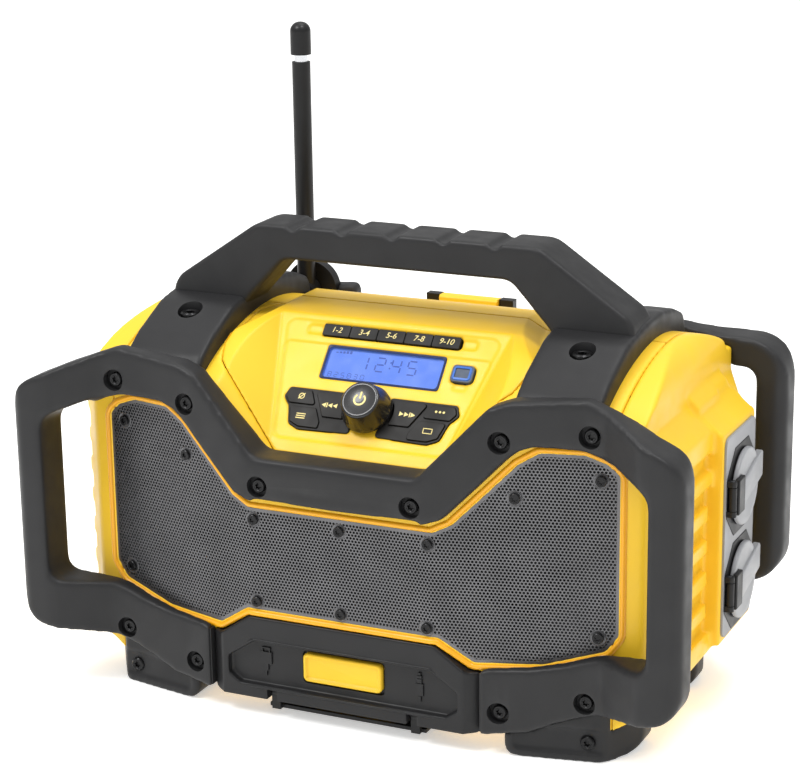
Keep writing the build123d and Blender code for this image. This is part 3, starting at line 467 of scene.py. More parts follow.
# ---------------------------------------------------------------- rounding of solids
WELD = 2e-6  # metres; closer vertices of a solid's mesh are one
KEPT_FACES = 0.4  # share of a rounded mesh's faces that is kept


def merged(node, bores=()):
    """Closed bmesh of a solid, with its bores filled."""
    bm = bmesh.new()
    bm.from_mesh(nodes[node].data)
    bmesh.ops.remove_doubles(bm, verts=bm.verts, dist=WELD)
    if bores:
        without_bores(bm, bores)
    return bm


def without_bores(bm, bores):
    """Removes the walls and floors of bores (point, direction, radius) and closes the surface over them."""
    for point, direction, radius in bores:
        origin, along = Vector(point) * MM, Vector(direction).normalized()
        limit = (radius + 0.04) * MM

        def inside(v):
            offset = v.co - origin
            return (offset - along * offset.dot(along)).length < limit

        near = {v for v in bm.verts if inside(v)}
        doomed = [f for f in bm.faces if all(v in near for v in f.verts)]
        bmesh.ops.delete(bm, geom=doomed, context="FACES")
    open_edges = [e for e in bm.edges if e.is_boundary]
    bmesh.ops.holes_fill(bm, edges=open_edges, sides=0)
    bmesh.ops.triangulate(bm, faces=[f for f in bm.faces if len(f.verts) > 4])


def softened(node, bm, voxel, passes, cuts=None, free=None, finish=RUBBER, body="housing"):
    """Stand-in for a solid with its edges rounded, the more the larger voxel and passes are.

    cuts is a bmesh of crisp openings. free(place) is 1 where the form is rounded and 0 where it stays.
    """
    mesh = evaluated(mesh_of("work", bm), [("REMESH", {"mode": "VOXEL", "voxel_size": voxel * MM})])
    smooth = {"factor": 0.5, "iterations": passes}
    if free:
        smooth["vertex_group"] = "free"
    steps, cutter = [("SMOOTH", smooth), ("DECIMATE", {"ratio": KEPT_FACES})], None
    if cuts:
        cut, cutter = cut_by(cuts)
        steps.append(cut)
    made = evaluated(mesh, steps, free)
    if cutter:
        bpy.data.objects.remove(cutter)
    made.name = node + "_rounded"
    result = shown(node + "_rounded", made, finish, body, 50)
    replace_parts(result, node)


# ---------------------------------------------------------------- places of screws and bores
SIDES = (-1, 1)
# right half of the front frame: x, z and the y of the frame's front there
FRAME_SCREWS = [(162, 211, -96.4), (107, 203, -102.7), (52, 158, -112), (160, 42, -96.6), (106, 29, -102.9)]
FRAME_SEAT = 5  # depth of a counterbore below the frame's front
REAR_SCREWS = [(94, 198), (94, 110), (142, 70)]  # x and z
REAR_SEAT = 107.5  # y of the screw heads' undersides
STRAP_BOLTS = [(136, -40, 241.5), (136, 58, 243.0)]  # seats of the heads
FOOT_SCREW = (159, 85.8, 12.5)  # seat of the head, back right
FRAME_BORE, STRAP_BORE, FOOT_BORE = 7.0, 8.25, 2.05  # radii
FRAME_BORE_REACH, STRAP_BORE_REACH = 25, 40  # far enough to leave the piece

front_bores = [((s * x, y + FRAME_SEAT, z), (0, -1, 0), FRAME_BORE)
               for x, z, y in FRAME_SCREWS for s in SIDES]
rear_bores = [((s * x, REAR_SEAT, z), (0, 1, 0), FRAME_BORE) for x, z in REAR_SCREWS for s in SIDES]
strap_bores = {s: [((s * x, y, z), (0, 0, 1), STRAP_BORE) for x, y, z in STRAP_BOLTS] for s in SIDES}
foot_bores = [((s * FOOT_SCREW[0], 0, FOOT_SCREW[2]), (0, 1, 0), FOOT_BORE) for s in SIDES]

# ---------------------------------------------------------------- cage frames
FRONT_LINE = [(0, -112), (60, -112), (108, -102.5), (158, -96.5), (184, -97)]  # front of the band, (x, y)
STRIP_LOW = [(58, 146.5), (71, 151), (91, 171.5), (111, 192.5), (118, 198), (126, 201), (143, 201.5),
             (160, 201), (170, 198), (179, 193.5)]
STRIP_TOPS = [156, 166, 188, 207, 211, 214, 214, 212, 208, 203]
STRIP_BACK = -86


def band_front(x):
    for (x0, y0), (x1, y1) in zip(FRONT_LINE, FRONT_LINE[1:]):
        if abs(x) <= x1:
            return y0 + (y1 - y0) * (abs(x) - x0) / (x1 - x0)
    return FRONT_LINE[-1][1]


def inner_strip(side):
    """Closed strip that brings the front frame's inner edge down to the bead of the grille."""
    bm = bmesh.new()
    grid(bm, [[(side * x, band_front(x), z), (side * x, band_front(x), top), (side * x, STRIP_BACK, top),
               (side * x, STRIP_BACK, z)] for (x, z), top in zip(STRIP_LOW, STRIP_TOPS)], True)
    bmesh.ops.recalc_face_normals(bm, faces=bm.faces)
    return bm


def rear_free(p):
    """The lower middle of the rear frame stays crisp."""
    return 0.0 if abs(p.x) < 62 and p.z < 53 else 1.0


softened("front_frame", joined([merged("front_frame", front_bores)] + [inner_strip(s) for s in SIDES]),
         voxel=1.5, passes=26, cuts=bored(front_bores, FRAME_BORE_REACH))
softened("rear_frame", merged("rear_frame", rear_bores), voxel=1.5, passes=26,
         cuts=bored(rear_bores, FRAME_BORE_REACH), free=rear_free)

# ---------------------------------------------------------------- straps, handle and feet
STRAP_LINE = rounded([(-84, 208, 0), (-84, 218, 7), (-77, 227, 10), (-63, 236.5, 14), (-32, 250.5, 30),
                      (0, 256, 40), (30, 257, 30), (58, 252.5, 20), (76, 245.5, 9), (80, 232, 8),
                      (80, 215, 0)], 6)
STRAP_INNER, STRAP_OUTER = 107.0, 163.0
STRAP_FOOT = 214
HANDLE_TOP, HANDLE_UNDERSIDE, HANDLE_HALF_DEPTH = 302.6, 280, 18
NOTCHES = (-70, -35, 0, 35, 70)
NOTCH_FLOOR, NOTCH_ABOVE, NOTCH_HALF = 299.9, 306, 30  # the cut runs past the handle upwards and in y


def strap_free(p):
    """The lowest part of a strap stays crisp."""
    return 0.0 if p.z < STRAP_FOOT else 1.0


for side, name in ((-1, "strap_left"), (1, "strap_right")):
    softened(name, prism_x(STRAP_LINE, side * STRAP_INNER, side * STRAP_OUTER), voxel=1.3, passes=34,
             cuts=bored(strap_bores[side], STRAP_BORE_REACH), free=strap_free)

# the handle has five notches across its top
handle_line = rounded(mirrored([(0, HANDLE_TOP, 0), (98, HANDLE_TOP, 16), (156, 263.5, 12), (161, 256, 12),
                                (161, 246, 0), (107, 246, 0), (107, 249, 3), (79, HANDLE_UNDERSIDE, 12),
                                (0, HANDLE_UNDERSIDE, 0)]), 6)
notches = joined([prism_y([(x - 10.0, NOTCH_ABOVE), (x - 3.5, NOTCH_FLOOR), (x + 1.5, NOTCH_FLOOR),
                           (x + 5.5, NOTCH_ABOVE)], -NOTCH_HALF, NOTCH_HALF) for x in NOTCHES])
handle_edges = {"width": 6 * MM, "segments": 3, "limit_method": "ANGLE", "angle_limit": math.radians(60)}
handle_mesh = evaluated(mesh_of("work", prism_y(handle_line, -HANDLE_HALF_DEPTH, HANDLE_HALF_DEPTH)),
                        [("BEVEL", handle_edges)])
softened("carry_handle", joined([carved(joined([handle_mesh]), notches)]), voxel=1.2, passes=16)

for name in ("front_feet", "rear_feet"):
    softened(name, merged(name, foot_bores), voxel=1.2, passes=8)

# ---------------------------------------------------------------- housing, covers and media door
RIB_FLOOR, COVER_REACH = 201.0, 215.0  # floor of the rib grooves, and a place outside the cover
RIB_FIELD = (58.5, 156.5)
RIB_ENDS = {-1: (44.5, 50.0), 1: (-2.5, 3.0)}  # y of the gap at the ribs' free ends, by side
# shoulder lug of the right cover
LUG_LINE = rounded([(174, 190, 0), (174, 219.5, 0), (184, 219.5, 5), (198, 206, 5), (199, 190, 0)], 5)
LUG_DEPTH = (0, 40)
LATCH_OPENING = rectangle(-28.6, 26.6, 28.6, 48.6, 3)
LATCH_OPENING_DEPTH = (-110, -98.8)


def cover_free(p):
    """The seam with the housing and the socket box stay crisp, and the ribs nearly so."""
    seam = abs(p.x) < 177
    socket_box = p.x > 196 and 3 < p.y < 70 and 50 < p.z < 190
    ribs = abs(p.x) > 197 and 54 < p.z < 160
    return 0.0 if seam or socket_box else 0.3 if ribs else 1.0


def door_free(p):
    """The hinge edge and the latch opening stay crisp, and the recessed panel nearly so."""
    hinge = p.z < 21
    opening = abs(p.x) < 30.5 and p.z < 50.5
    panel = abs(p.x) < 83 and 19 < p.z < 54
    return 0.0 if hinge or opening else 0.35 if panel else 1.0


def housing_free(p):
    """The seams with the side covers and the rear half stay crisp."""
    return 0.0 if abs(p.x) > 168 or p.y > 8 else 1.0


for side, name in ((-1, "side_cover_left"), (1, "side_cover_right")):
    ends = block(sorted(side * x for x in (RIB_FLOOR, COVER_REACH)), RIB_ENDS[side], RIB_FIELD)
    shapes = [carved(merged(name), ends)]
    if side > 0:
        shapes.append(prism_y(LUG_LINE, *LUG_DEPTH))
    softened(name, joined(shapes), voxel=1.3, passes=12, free=cover_free, finish=YELLOW_SOFT)

softened("media_door", merged("media_door"), voxel=0.75, passes=18,
         cuts=prism_y(LATCH_OPENING, *LATCH_OPENING_DEPTH), free=door_free, finish=DOOR, body="media_door")
softened("control_fascia", merged("control_fascia"), voxel=0.8, passes=9, finish=YELLOW_SOFT)
softened("front_housing", merged("front_housing"), voxel=1.4, passes=8, free=housing_free,
         finish=YELLOW_SOFT)

# ---------------------------------------------------------------- screws
FRAME_SIZE = {"head": 4.5, "height": 3.0, "shank": 2.0, "length": 13}
BOLT_SIZE = {"head": 6.5, "height": 4.0, "shank": 3.0, "length": 24}
GRILLE_SIZE = {"head": 3.4, "height": 1.7, "shank": 1.5, "length": 7}


def lobed(radius):
    """Six-lobed socket outline."""
    return lambda angle: radius * (1 + 0.17 * math.cos(6 * angle))


def screw_into(bm, seat, direction, head, height, shank, length):
    """Screw with a bevelled head and a lobed socket in a shallow dish; head and shank are radii."""
    edge, dish, socket = 0.22 * height, 0.25, lobed(0.44 * head)
    turned(bm, placed(seat, direction), [
        (shank, -length), (shank, 0), (head, 0), (head, height - edge), (head - edge, height),
        (0.66 * head, height), (0.60 * head, height - dish), (socket, height - dish), (socket, 0.35 * height),
        (0.05, 0.3 * height)])


screws = bmesh.new()
for point, direction, _ in front_bores + rear_bores:
    screw_into(screws, point, direction, **FRAME_SIZE)
for s in SIDES:
    for end in SIDES:
        seat = (s * FOOT_SCREW[0], end * FOOT_SCREW[1], FOOT_SCREW[2])
        screw_into(screws, seat, (0, end, 0), **FRAME_SIZE)
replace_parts(piece("screws_torx", screws, SCREW, "housing"), "frame_screws")
bolts = bmesh.new()
for s in SIDES:
    for point, direction, _ in strap_bores[s]:
        screw_into(bolts, point, direction, **BOLT_SIZE)
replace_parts(piece("bolts_torx", bolts, SCREW, "housing"), "strap_bolts")

# ---------------------------------------------------------------- the swept front
# Its middle is flat. Past WING_START the two wings sweep back. A distance is that of the middle from y = 0.
WING_START, WING_ANGLE = 62.0, math.radians(12)
WING_SLOPE = math.tan(WING_ANGLE)


def wing_y(x, distance):
    return -distance + max(0.0, abs(x) - WING_START) * WING_SLOPE


def wing_frame(x, z, distance):
    """Local frame on the front, with its z axis outwards."""
    side = 1 if x >= 0 else -1
    tilt = WING_ANGLE if abs(x) > WING_START else 0.0
    return placed((x, wing_y(x, distance), z), (side * math.sin(tilt), -math.cos(tilt), 0), (0, 0, 1))


def on_wings(bm, outline, layers):
    """Skin round an outline (x, z) of the front; layers are (offset outwards, distance)."""
    grid(bm, [[(p.x, wing_y(p.x, distance), p.y) for p in offset_outline(outline, out)]
              for out, distance in layers])


# ---------------------------------------------------------------- perforated grille
GRILLE_FACE, GRILLE_BACK = 103.4, 102.2
HOLE_PITCH, HOLE_RADIUS = 2.3, 0.92
SHEET_BOTTOM, SHEET_HEIGHT, SHEET_COLUMNS = 56, 142, 78  # columns either side of the middle
EDGE_LAND, SCREW_LAND = 1.3, 4.4  # no cell's middle is nearer to the edge or to a screw
GRILLE_RIGHT = [
    (0, 141.2, 0), (63, 141.2, 6), (75, 147, 6), (115, 188, 8), (128, 196, 8), (155, 196, 10),
    (168, 191, 8), (176, 184, 8), (176, 82, 8), (168, 71, 8), (130, 59.5, 10), (88, 57.5, 6),
    (66, 72.3, 6), (0, 72.3, 0),
]
grille_line = resampled(rounded(mirrored(GRILLE_RIGHT)), 2.5)
grille_screw_spots = [(s * x, z) for x, z in [(164, 180), (113, 166), (60, 133), (163, 80), (59, 78)]
                      for s in SIDES]
grille_screw_spots += [(0, 133), (0, 78)]


def inside_by(points, x, z):
    """Signed distance inside a closed outline, negative outside."""
    best, crossing = 1e9, False
    for a, b in zip(points, points[1:] + points[:1]):
        dx, dz = b.x - a.x, b.y - a.y
        t = max(0, min(1, ((x - a.x) * dx + (z - a.y) * dz) / (dx * dx + dz * dz)))
        best = min(best, math.hypot(x - a.x - t * dx, z - a.y - t * dz))
        if (a.y > z) != (b.y > z) and x < a.x + (z - a.y) * dx / dz:
            crossing = not crossing
    return best if crossing else -best


def perforated():
    """Sheet of six-sided cells with a six-sided hole in each, bent over the two wings."""
    coarse = rounded(mirrored(GRILLE_RIGHT), 3)
    corners = [(math.sin(math.pi * k / 3), math.cos(math.pi * k / 3)) for k in range(6)]
    cell = HOLE_PITCH / math.sqrt(3)
    row_step = HOLE_PITCH * math.sqrt(3) / 2
    front, deep = GRILLE_FACE - 0.15, GRILLE_BACK + 0.3
    verts, faces, shared = [], [], {}

    def vertex(x, z, distance, share=True):
        key = (round(x, 2), round(z, 2), distance)
        if share and key in shared:
            return shared[key]
        verts.append((x * MM, wing_y(x, distance) * MM, z * MM))
        shared[key] = len(verts) - 1
        return len(verts) - 1

    for row in range(int(SHEET_HEIGHT / row_step)):
        z = SHEET_BOTTOM + row * row_step
        for column in range(-SHEET_COLUMNS, SHEET_COLUMNS + 1):
            x = (column + (0.5 if row % 2 else 0)) * HOLE_PITCH
            if inside_by(coarse, x, z) < EDGE_LAND:
                continue
            if any(math.hypot(x - sx, z - sz) < SCREW_LAND for sx, sz in grille_screw_spots):
                continue
            outer = [vertex(x + a * cell, z + b * cell, front) for a, b in corners]
            rim, floor_ring = ([vertex(x + a * HOLE_RADIUS, z + b * HOLE_RADIUS, level, False)
                                for a, b in corners] for level in (front, deep))
            for k in range(6):
                j = (k + 1) % 6
                faces.append((outer[k], outer[j], rim[j], rim[k]))
                faces.append((rim[k], rim[j], floor_ring[j], floor_ring[k]))
    mesh = bpy.data.meshes.new("grille_sheet")
    mesh.from_pydata(verts, [], faces)
    return mesh


grille = bmesh.new()
grille.from_mesh(perforated())
on_wings(grille, grille_line, [(-0.1, GRILLE_BACK), (-0.1, GRILLE_FACE - 0.3), (-0.6, GRILLE_FACE),
                               (-2.6, GRILLE_FACE), (-2.6, GRILLE_FACE - 0.4)])
for x, z in grille_screw_spots:
    turned(grille, wing_frame(x, z, GRILLE_FACE),
           [(5.2, -1.0), (5.2, -0.1), (4.9, 0.1), (4.0, -0.25), (0.1, -0.25)], 32)
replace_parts(piece("grille_perforated", grille, GRILLE, "housing", 25), "speaker_grille")

gasket = bmesh.new()
on_wings(gasket, grille_line, [(-0.3, GRILLE_BACK + 0.05), (-0.3, GRILLE_BACK + 0.2),
                               (-6.5, GRILLE_BACK + 0.2), (-6.5, GRILLE_BACK + 0.05),
                               (-0.3, GRILLE_BACK + 0.05)])
piece("grille_gasket", gasket, BAFFLE, "housing")

small_screws = bmesh.new()
for x, z in grille_screw_spots:
    seat = wing_frame(x, z, GRILLE_FACE)
    screw_into(small_screws, seat.translation, seat.to_3x3().col[2], **GRILLE_SIZE)
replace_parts(piece("grille_screws_torx", small_screws, SCREW, "housing"), "grille_screws")

BEAD_STEPS, BEAD_INNER, BEAD_OUTER = 7, 0.1, 4.0  # offsets from the grille's outline
BEAD_BASE, BEAD_RISE = 104.3, 1.7
bead_layers = [(BEAD_INNER, 102.6)]
for k in range(BEAD_STEPS + 1):
    share = k / BEAD_STEPS
    out = BEAD_INNER + (BEAD_OUTER - BEAD_INNER) * share
    bead_layers.append((out, BEAD_BASE + BEAD_RISE * math.sin(math.pi * share) ** 0.7))
bead_layers.append((BEAD_OUTER, 103.0))
# The bead's orange colour is painted shade on the yellow plastic.
bead = bmesh.new()
on_wings(bead, grille_line, bead_layers)
piece("grille_bead", bead, BEAD_SHADED_YELLOW, "housing", 60)

# ---------------------------------------------------------------- media door: latch, relief and lip
FRONT = placed((0, 0, 0), (0, -1, 0), (1, 0, 0))  # x and z of the part, with levels towards the front
LATCH_LINE = rectangle(-27.4, 28.5, 27.4, 47.7, 3.5, 6)
LATCH_LAYERS = [(-0.02, 98.6), (-0.02, 102.6), (-0.35, 103.3), (-1.0, 103.6), (-1.9, 103.6), (-2.7, 102.2),
                (-3.3, 101.9)]
LATCH_FLANGE, LATCH_FLANGE_LEVELS = (-30, 26, 30, 50.2), (96.4, 98.62)
RELIEF = (100.7, 102.2)
# outline boxes (x0, z0, x1, z1) of the relief mark on the left, and stacked bars of the one on the right
LEFT_MARK = [(-57.5, 46.0, -51.5, 46.8), (-57.5, 43.6, -56.7, 46.0), (-52.3, 43.6, -51.5, 46.0),
             (-58.5, 35.5, -50.5, 43.6), (-56.0, 31.0, -53.0, 35.5), (-55.0, 27.5, -54.0, 31.0)]
RIGHT_MARK_X = 53.0
RIGHT_MARK = [(0.9, 45.4, 47.0), (1.5, 43.2, 45.0), (1.5, 40.0, 42.8), (2.4, 31.5, 39.6), (0.8, 27.5, 31.2)]
LIP_LINE = resampled(rounded(mirrored([(0, 52.6, 0), (61.9, 52.6, 3), (81.3, 39.7, 3), (81.3, 26.4, 3),
                                       (72.4, 20.2, 3), (0, 20.2, 0)])), 3.0)
# Dark strips fill the gaps at the door's two ends as painted shade; the numbers give the right one.
SHADE_STRIP_X, SHADE_STRIP_Y, SHADE_STRIP_Z = (93.7, 96.0), (-103.0, -95), (15, 53.5)  # strip at the door's right end

latch = bmesh.new()
layered(latch, FRONT, [(offset_outline(LATCH_LINE, out), level) for out, level in LATCH_LAYERS])
# This plate of the yellow latch is drawn black: painted shade for the dark gap round the latch.
shaded_flange = bmesh.new()
bar(shaded_flange, FRONT, *LATCH_FLANGE, *LATCH_FLANGE_LEVELS)
piece("latch_flange_painted_shade", shaded_flange, BLACK, "media_latch")
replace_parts(piece("latch_rimmed", latch, YELLOW, "media_latch", 40), "media_latch")

relief = bmesh.new()
for box in LEFT_MARK:
    bar(relief, FRONT, *box, *RELIEF)
for half, low, high in RIGHT_MARK:
    bar(relief, FRONT, RIGHT_MARK_X - half, low, RIGHT_MARK_X + half, high, *RELIEF)
piece("door_relief", relief, DOOR, "media_door")

lip = bmesh.new()
on_wings(lip, LIP_LINE, [(-0.9, 104.6), (-0.9, 106.3), (-0.5, 106.8), (0.1, 106.8), (0.6, 106.3),
                         (0.9, 105.2), (-0.9, 104.6)])
piece("door_lip", lip, DOOR, "media_door", 60)
# Each strip is painted shade in the gap between the door and the frame.
shade_strips = joined([block(sorted(s * x for x in SHADE_STRIP_X), SHADE_STRIP_Y, SHADE_STRIP_Z) for s in SIDES])
piece("door_gap_shade", shade_strips, RUBBER, "housing")

# ---------------------------------------------------------------- outlets: flanges and flaps
OUTLETS = {"upper": 147.0, "lower": 84.0}
OUTLET_Y = 38.0
FLANGE_LEVELS = (214.4, 214.85)
FLANGE_HOLE = 19.9
FLANGE_OUTER = [(-31, -13), (-15, -29), (13, -29), (26, -15), (26, 15), (13, 29), (-15, 29), (-31, 13)]
RIM_PROFILE = [(24.0, 215.2), (25.0, 215.9), (25.0, 217.7), (24.6, 218.3), (23.8, 218.6), (20.5, 218.6),
               (20.0, 218.35), (0.1, 218.35)]
BAND_LINE = rounded([(-19, -12, 1), (29, -1.5, 2.5), (29, 16.5, 2.5), (-19, 4, 1)], 4)
HINGE_LINE = rectangle(-26.0, -11.8, -13.2, 11.8, 1.2, 3)
HINGE_AXIS, HINGE_HALF = (217.8, 9), 7.6  # (x, y) of the pin, and half the tube's length
PIN_RADIUS, TUBE_RADIUS = 1.26, 2.6


def outlet_frame(z):
    """Local frame of an outlet: x towards the back, y up, levels from the part's middle."""
    return placed((0, OUTLET_Y, z), (1, 0, 0), (0, 1, 0))


# black flanges round the outlets, behind the flaps
flanges = bmesh.new()
flange_outer = resampled([Vector(point) for point in FLANGE_OUTER], 4.0)
flange_inner = [p.normalized() * FLANGE_HOLE for p in flange_outer]
for z in OUTLETS.values():
    back, face = FLANGE_LEVELS
    layered(flanges, outlet_frame(z), [(flange_outer, back), (flange_outer, face), (flange_inner, face),
                                       (flange_inner, back), (flange_outer, back)], False)
piece("outlet_flanges", flanges, BLACK, "housing")

# round flaps: soft rim, raised band that runs out into the finger tab, black hinge block with its tube
for which, z in OUTLETS.items():
    body, spot = "outlet_flap_" + which, outlet_frame(z)
    flap = bmesh.new()
    turned(flap, spot, RIM_PROFILE, 72)
    layered(flap, spot, [(BAND_LINE, 216.0), (BAND_LINE, 219.5), (offset_outline(BAND_LINE, -0.7), 220.0)])
    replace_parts(piece("flap_" + which, flap, FLAP, body, 40), body)
    hinge = bmesh.new()
    tube = [(PIN_RADIUS, 0), (TUBE_RADIUS, 0), (TUBE_RADIUS, 2 * HINGE_HALF), (PIN_RADIUS, 2 * HINGE_HALF),
            (PIN_RADIUS, 0)]
    turned(hinge, placed((*HINGE_AXIS, z - HINGE_HALF), (0, 0, 1)), tube, 32, False)
    bar(hinge, spot, -26.8, -HINGE_HALF, -22, HINGE_HALF, 216.2, 218.55)
    layered(hinge, spot, [(HINGE_LINE, 218.3), (HINGE_LINE, 220.6),
                          (offset_outline(HINGE_LINE, -0.8), 221.3)])
    piece("hinge_block_" + which, hinge, BLACK, body, 40)

# ---------------------------------------------------------------- control panel
PANEL_TILT = math.radians(47.25)
PANEL = placed((0, -83, 172), (0, -math.sin(PANEL_TILT), math.cos(PANEL_TILT)), (1, 0, 0))


def on_panel(x, s, height=0.0):
    """Local frame on the sloped panel: x to the right, s up the slope."""
    return PANEL @ Matrix.Translation(Vector((x, s, height)))


# volume knob: tapered body with a rounded shoulder, shallow dished top and a hollow underside
KNOB = on_panel(0, 36)
KNOB_RADIUS, KNOB_DRAFT = 16.4, math.tan(math.radians(18))
TAPER_START, TAPER_HEIGHT = 3.4, 12
FLAT_DEPTH = 0.5
SHOULDER_RADIUS, SHOULDER_START = 1.9, 14.2
KNOB_TOP = SHOULDER_START + SHOULDER_RADIUS


def grip(radius, depth):
    """Knob section with shallow finger flats."""
    return lambda angle: radius - depth * max(0.0, math.cos(12 * angle)) ** 3


knob_profile = [(2.3, -8.3), (2.3, 2.0), (5.0, 2.0), (5.0, 6.0), (13.5, 6.0), (13.5, 0.9), (15.6, 0.9),
                (KNOB_RADIUS, 1.5), (KNOB_RADIUS, TAPER_START)]
for level in (4.0, 6.0, 8.0, 10.0, 12.0):
    above = level - TAPER_START
    fading = FLAT_DEPTH * (1 - above / TAPER_HEIGHT)
    knob_profile.append((grip(KNOB_RADIUS - above * KNOB_DRAFT, fading), level))
knob_profile.append((KNOB_RADIUS - 10.2 * KNOB_DRAFT, TAPER_START + 10.2))
shoulder = KNOB_RADIUS - (SHOULDER_START - TAPER_START) * KNOB_DRAFT
for turn in (math.radians(d) for d in (0, 25, 50, 75, 90)):
    knob_profile.append((shoulder - SHOULDER_RADIUS * (1 - math.cos(turn)),
                         SHOULDER_START + SHOULDER_RADIUS * math.sin(turn)))
knob_profile += [(shoulder - 2.6, KNOB_TOP), (shoulder - 3.0, KNOB_TOP - 0.25), (0.1, KNOB_TOP - 0.35)]
knob = bmesh.new()
turned(knob, KNOB, knob_profile, 96)
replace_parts(piece("knob_turned", knob, GLOSS_BLACK, "volume_knob", 35), "volume_knob")

MARK_LOW, MARK_HIGH = 15.7, 15.95
power = bmesh.new()
ring_sector(power, KNOB, 3.0, 4.2, 128, 412, MARK_LOW, MARK_HIGH)
bar(power, KNOB, -0.6, 0.6, 0.6, 5.4, MARK_LOW, MARK_HIGH)
piece("knob_mark", power, LEGEND, "volume_knob")

# ---------------------------------------------------------------- marks on the keys
SUNK, INK = -0.05, 0.12  # levels of a mark's underside and top
ARROW_FACE = 0.2  # the previous and next keys stand higher than the others
ARROW_LEVELS = (ARROW_FACE + SUNK, ARROW_FACE + INK)
ARROW_WIDTH, ARROW_HEIGHT = 3.0, 3.2
FULL_TURN = 359.9
# middle of each mark on the panel
KEY_PLACES = {"previous": (-27.2, 36.6), "next": (27.2, 36.6), "mute": (-48, 41), "menu": (-44.5, 27.2),
              "mode": (48, 41), "display": (43.5, 27.2)}


def triangle(bm, place, x, width):
    """Solid triangle pointing to +x, or to -x for a negative width."""
    plate(bm, place, [(x, -ARROW_HEIGHT / 2), (x + width, 0), (x, ARROW_HEIGHT / 2)], *ARROW_LEVELS)


def skip_mark(bm, spot, side):
    """Two arrows, a bar and a third arrow, pointing outwards."""
    for start in (-5.6, -2.2):
        triangle(bm, spot, side * start, side * ARROW_WIDTH)
    bar(bm, spot, side * 1.1, -ARROW_HEIGHT / 2, side * 1.8, ARROW_HEIGHT / 2, *ARROW_LEVELS)
    triangle(bm, spot, side * 2.3, side * ARROW_WIDTH)


def previous_mark(bm, spot):
    skip_mark(bm, spot, -1)


def next_mark(bm, spot):
    skip_mark(bm, spot, 1)


def mute_mark(bm, spot):
    """Struck ring."""
    ring_sector(bm, spot, 1.5, 2.1, 0, FULL_TURN, SUNK, INK)
    bar(bm, spot @ Matrix.Rotation(math.radians(45), 4, "Z"), -2.9, -0.3, 2.9, 0.3, SUNK, INK + 0.02)


def menu_mark(bm, spot):
    """Three bars."""
    for level in (-1.5, 0, 1.5):
        bar(bm, spot, -3.2, level - 0.35, 3.2, level + 0.35, SUNK, INK)


def mode_mark(bm, spot):
    """Three dots."""
    for step in (-2.6, 0, 2.6):
        dot = spot @ Matrix.Translation(Vector((step, 0, 0)))
        ring_sector(bm, dot, 0.02, 0.8, 0, FULL_TURN, SUNK, INK, 16)


def display_mark(bm, spot):
    """Empty frame."""
    for box in ((-3.2, -1.9, 3.2, -1.4), (-3.2, 1.4, 3.2, 1.9), (-3.2, -1.9, -2.7, 1.9),
                (2.7, -1.9, 3.2, 1.9)):
        bar(bm, spot, *box, SUNK, INK)


for key, draw in (("previous", previous_mark), ("next", next_mark), ("mute", mute_mark),
                  ("menu", menu_mark), ("mode", mode_mark), ("display", display_mark)):
    mark = bmesh.new()
    draw(mark, on_panel(*KEY_PLACES[key]))
    piece("mark_" + key, mark, LEGEND, "key_" + key)

PRESETS = ("1-2", "3-4", "5-6", "7-8", "9-10")
PRESET_PITCH, PRESET_S, PRESET_FACE = 19.2, 89.7, 0.42
NUMBER_SIZE, NUMBER_STROKE, NUMBER_HEIGHT, NUMBER_SLANT = 5.6, 0.015, 0.06, 0.2


def number(name, text, place, body):
    """Printed number, slanted, on a local frame."""
    curve = bpy.data.curves.new(name, "FONT")
    curve.body, curve.size, curve.shear = text, NUMBER_SIZE, NUMBER_SLANT
    curve.align_x, curve.align_y = "CENTER", "CENTER"
    curve.extrude, curve.offset = NUMBER_HEIGHT, NUMBER_STROKE
    mesh = baked(linked("work", curve))
    mesh.transform(Matrix.Scale(MM, 4) @ place)
    return shown(name, mesh, LEGEND, body)


for i, text in enumerate(PRESETS):
    number(f"preset_number_{i + 1}", text, on_panel(PRESET_PITCH * (i - 2), PRESET_S, PRESET_FACE),
           f"preset_key_{i + 1}")

# ---------------------------------------------------------------- display
# each segment of a digit: its middle across and up the digit, and whether it lies flat
SEGMENTS = {"a": (0.5, 1, 1), "b": (1, 0.75, 0), "c": (1, 0.25, 0), "d": (0.5, 0, 1), "e": (0, 0.25, 0),
            "f": (0, 0.75, 0), "g": (0.5, 0.5, 1)}
SHAPES = {"0": "abcdef", "1": "bc", "2": "abged", "3": "abgcd", "4": "fgbc", "5": "afgcd", "8": "abcdefg"}
LCD_FACE, LCD_INK_HEIGHT = -3.38, 0.08
DIGITS = ((-18, "1"), (-6, "2"), (5, "4"), (16, "5"))  # left edge on the panel
DIGITS_S, DIGIT_WIDTH, DIGIT_HEIGHT = 65.5, 6.0, 9.6
COLON_X, COLON_S, DOT_HALF = 3.9, (68.5, 72.5), 0.5
SMALL_DIGITS, SMALL_X, SMALL_S, SMALL_PITCH, SMALL_WIDTH, SMALL_HEIGHT = "825830", -37, 58.4, 4.6, 2.4, 3.4
METER_BARS, METER_X, METER_S, METER_PITCH = 5, -35, 75.5, 2.4

digits = bmesh.new()


def seven_segments(x, s, width, height, shape):
    thick = width * 0.16
    for key in SHAPES[shape]:
        across, up, flat = SEGMENTS[key]
        middle = on_panel(x + across * width, s + up * height, LCD_FACE)
        length = (width if flat else height / 2) - thick * 1.3
        wide, tall = (length, thick) if flat else (thick, length)
        bar(digits, middle, -wide / 2, -tall / 2, wide / 2, tall / 2, 0, LCD_INK_HEIGHT)


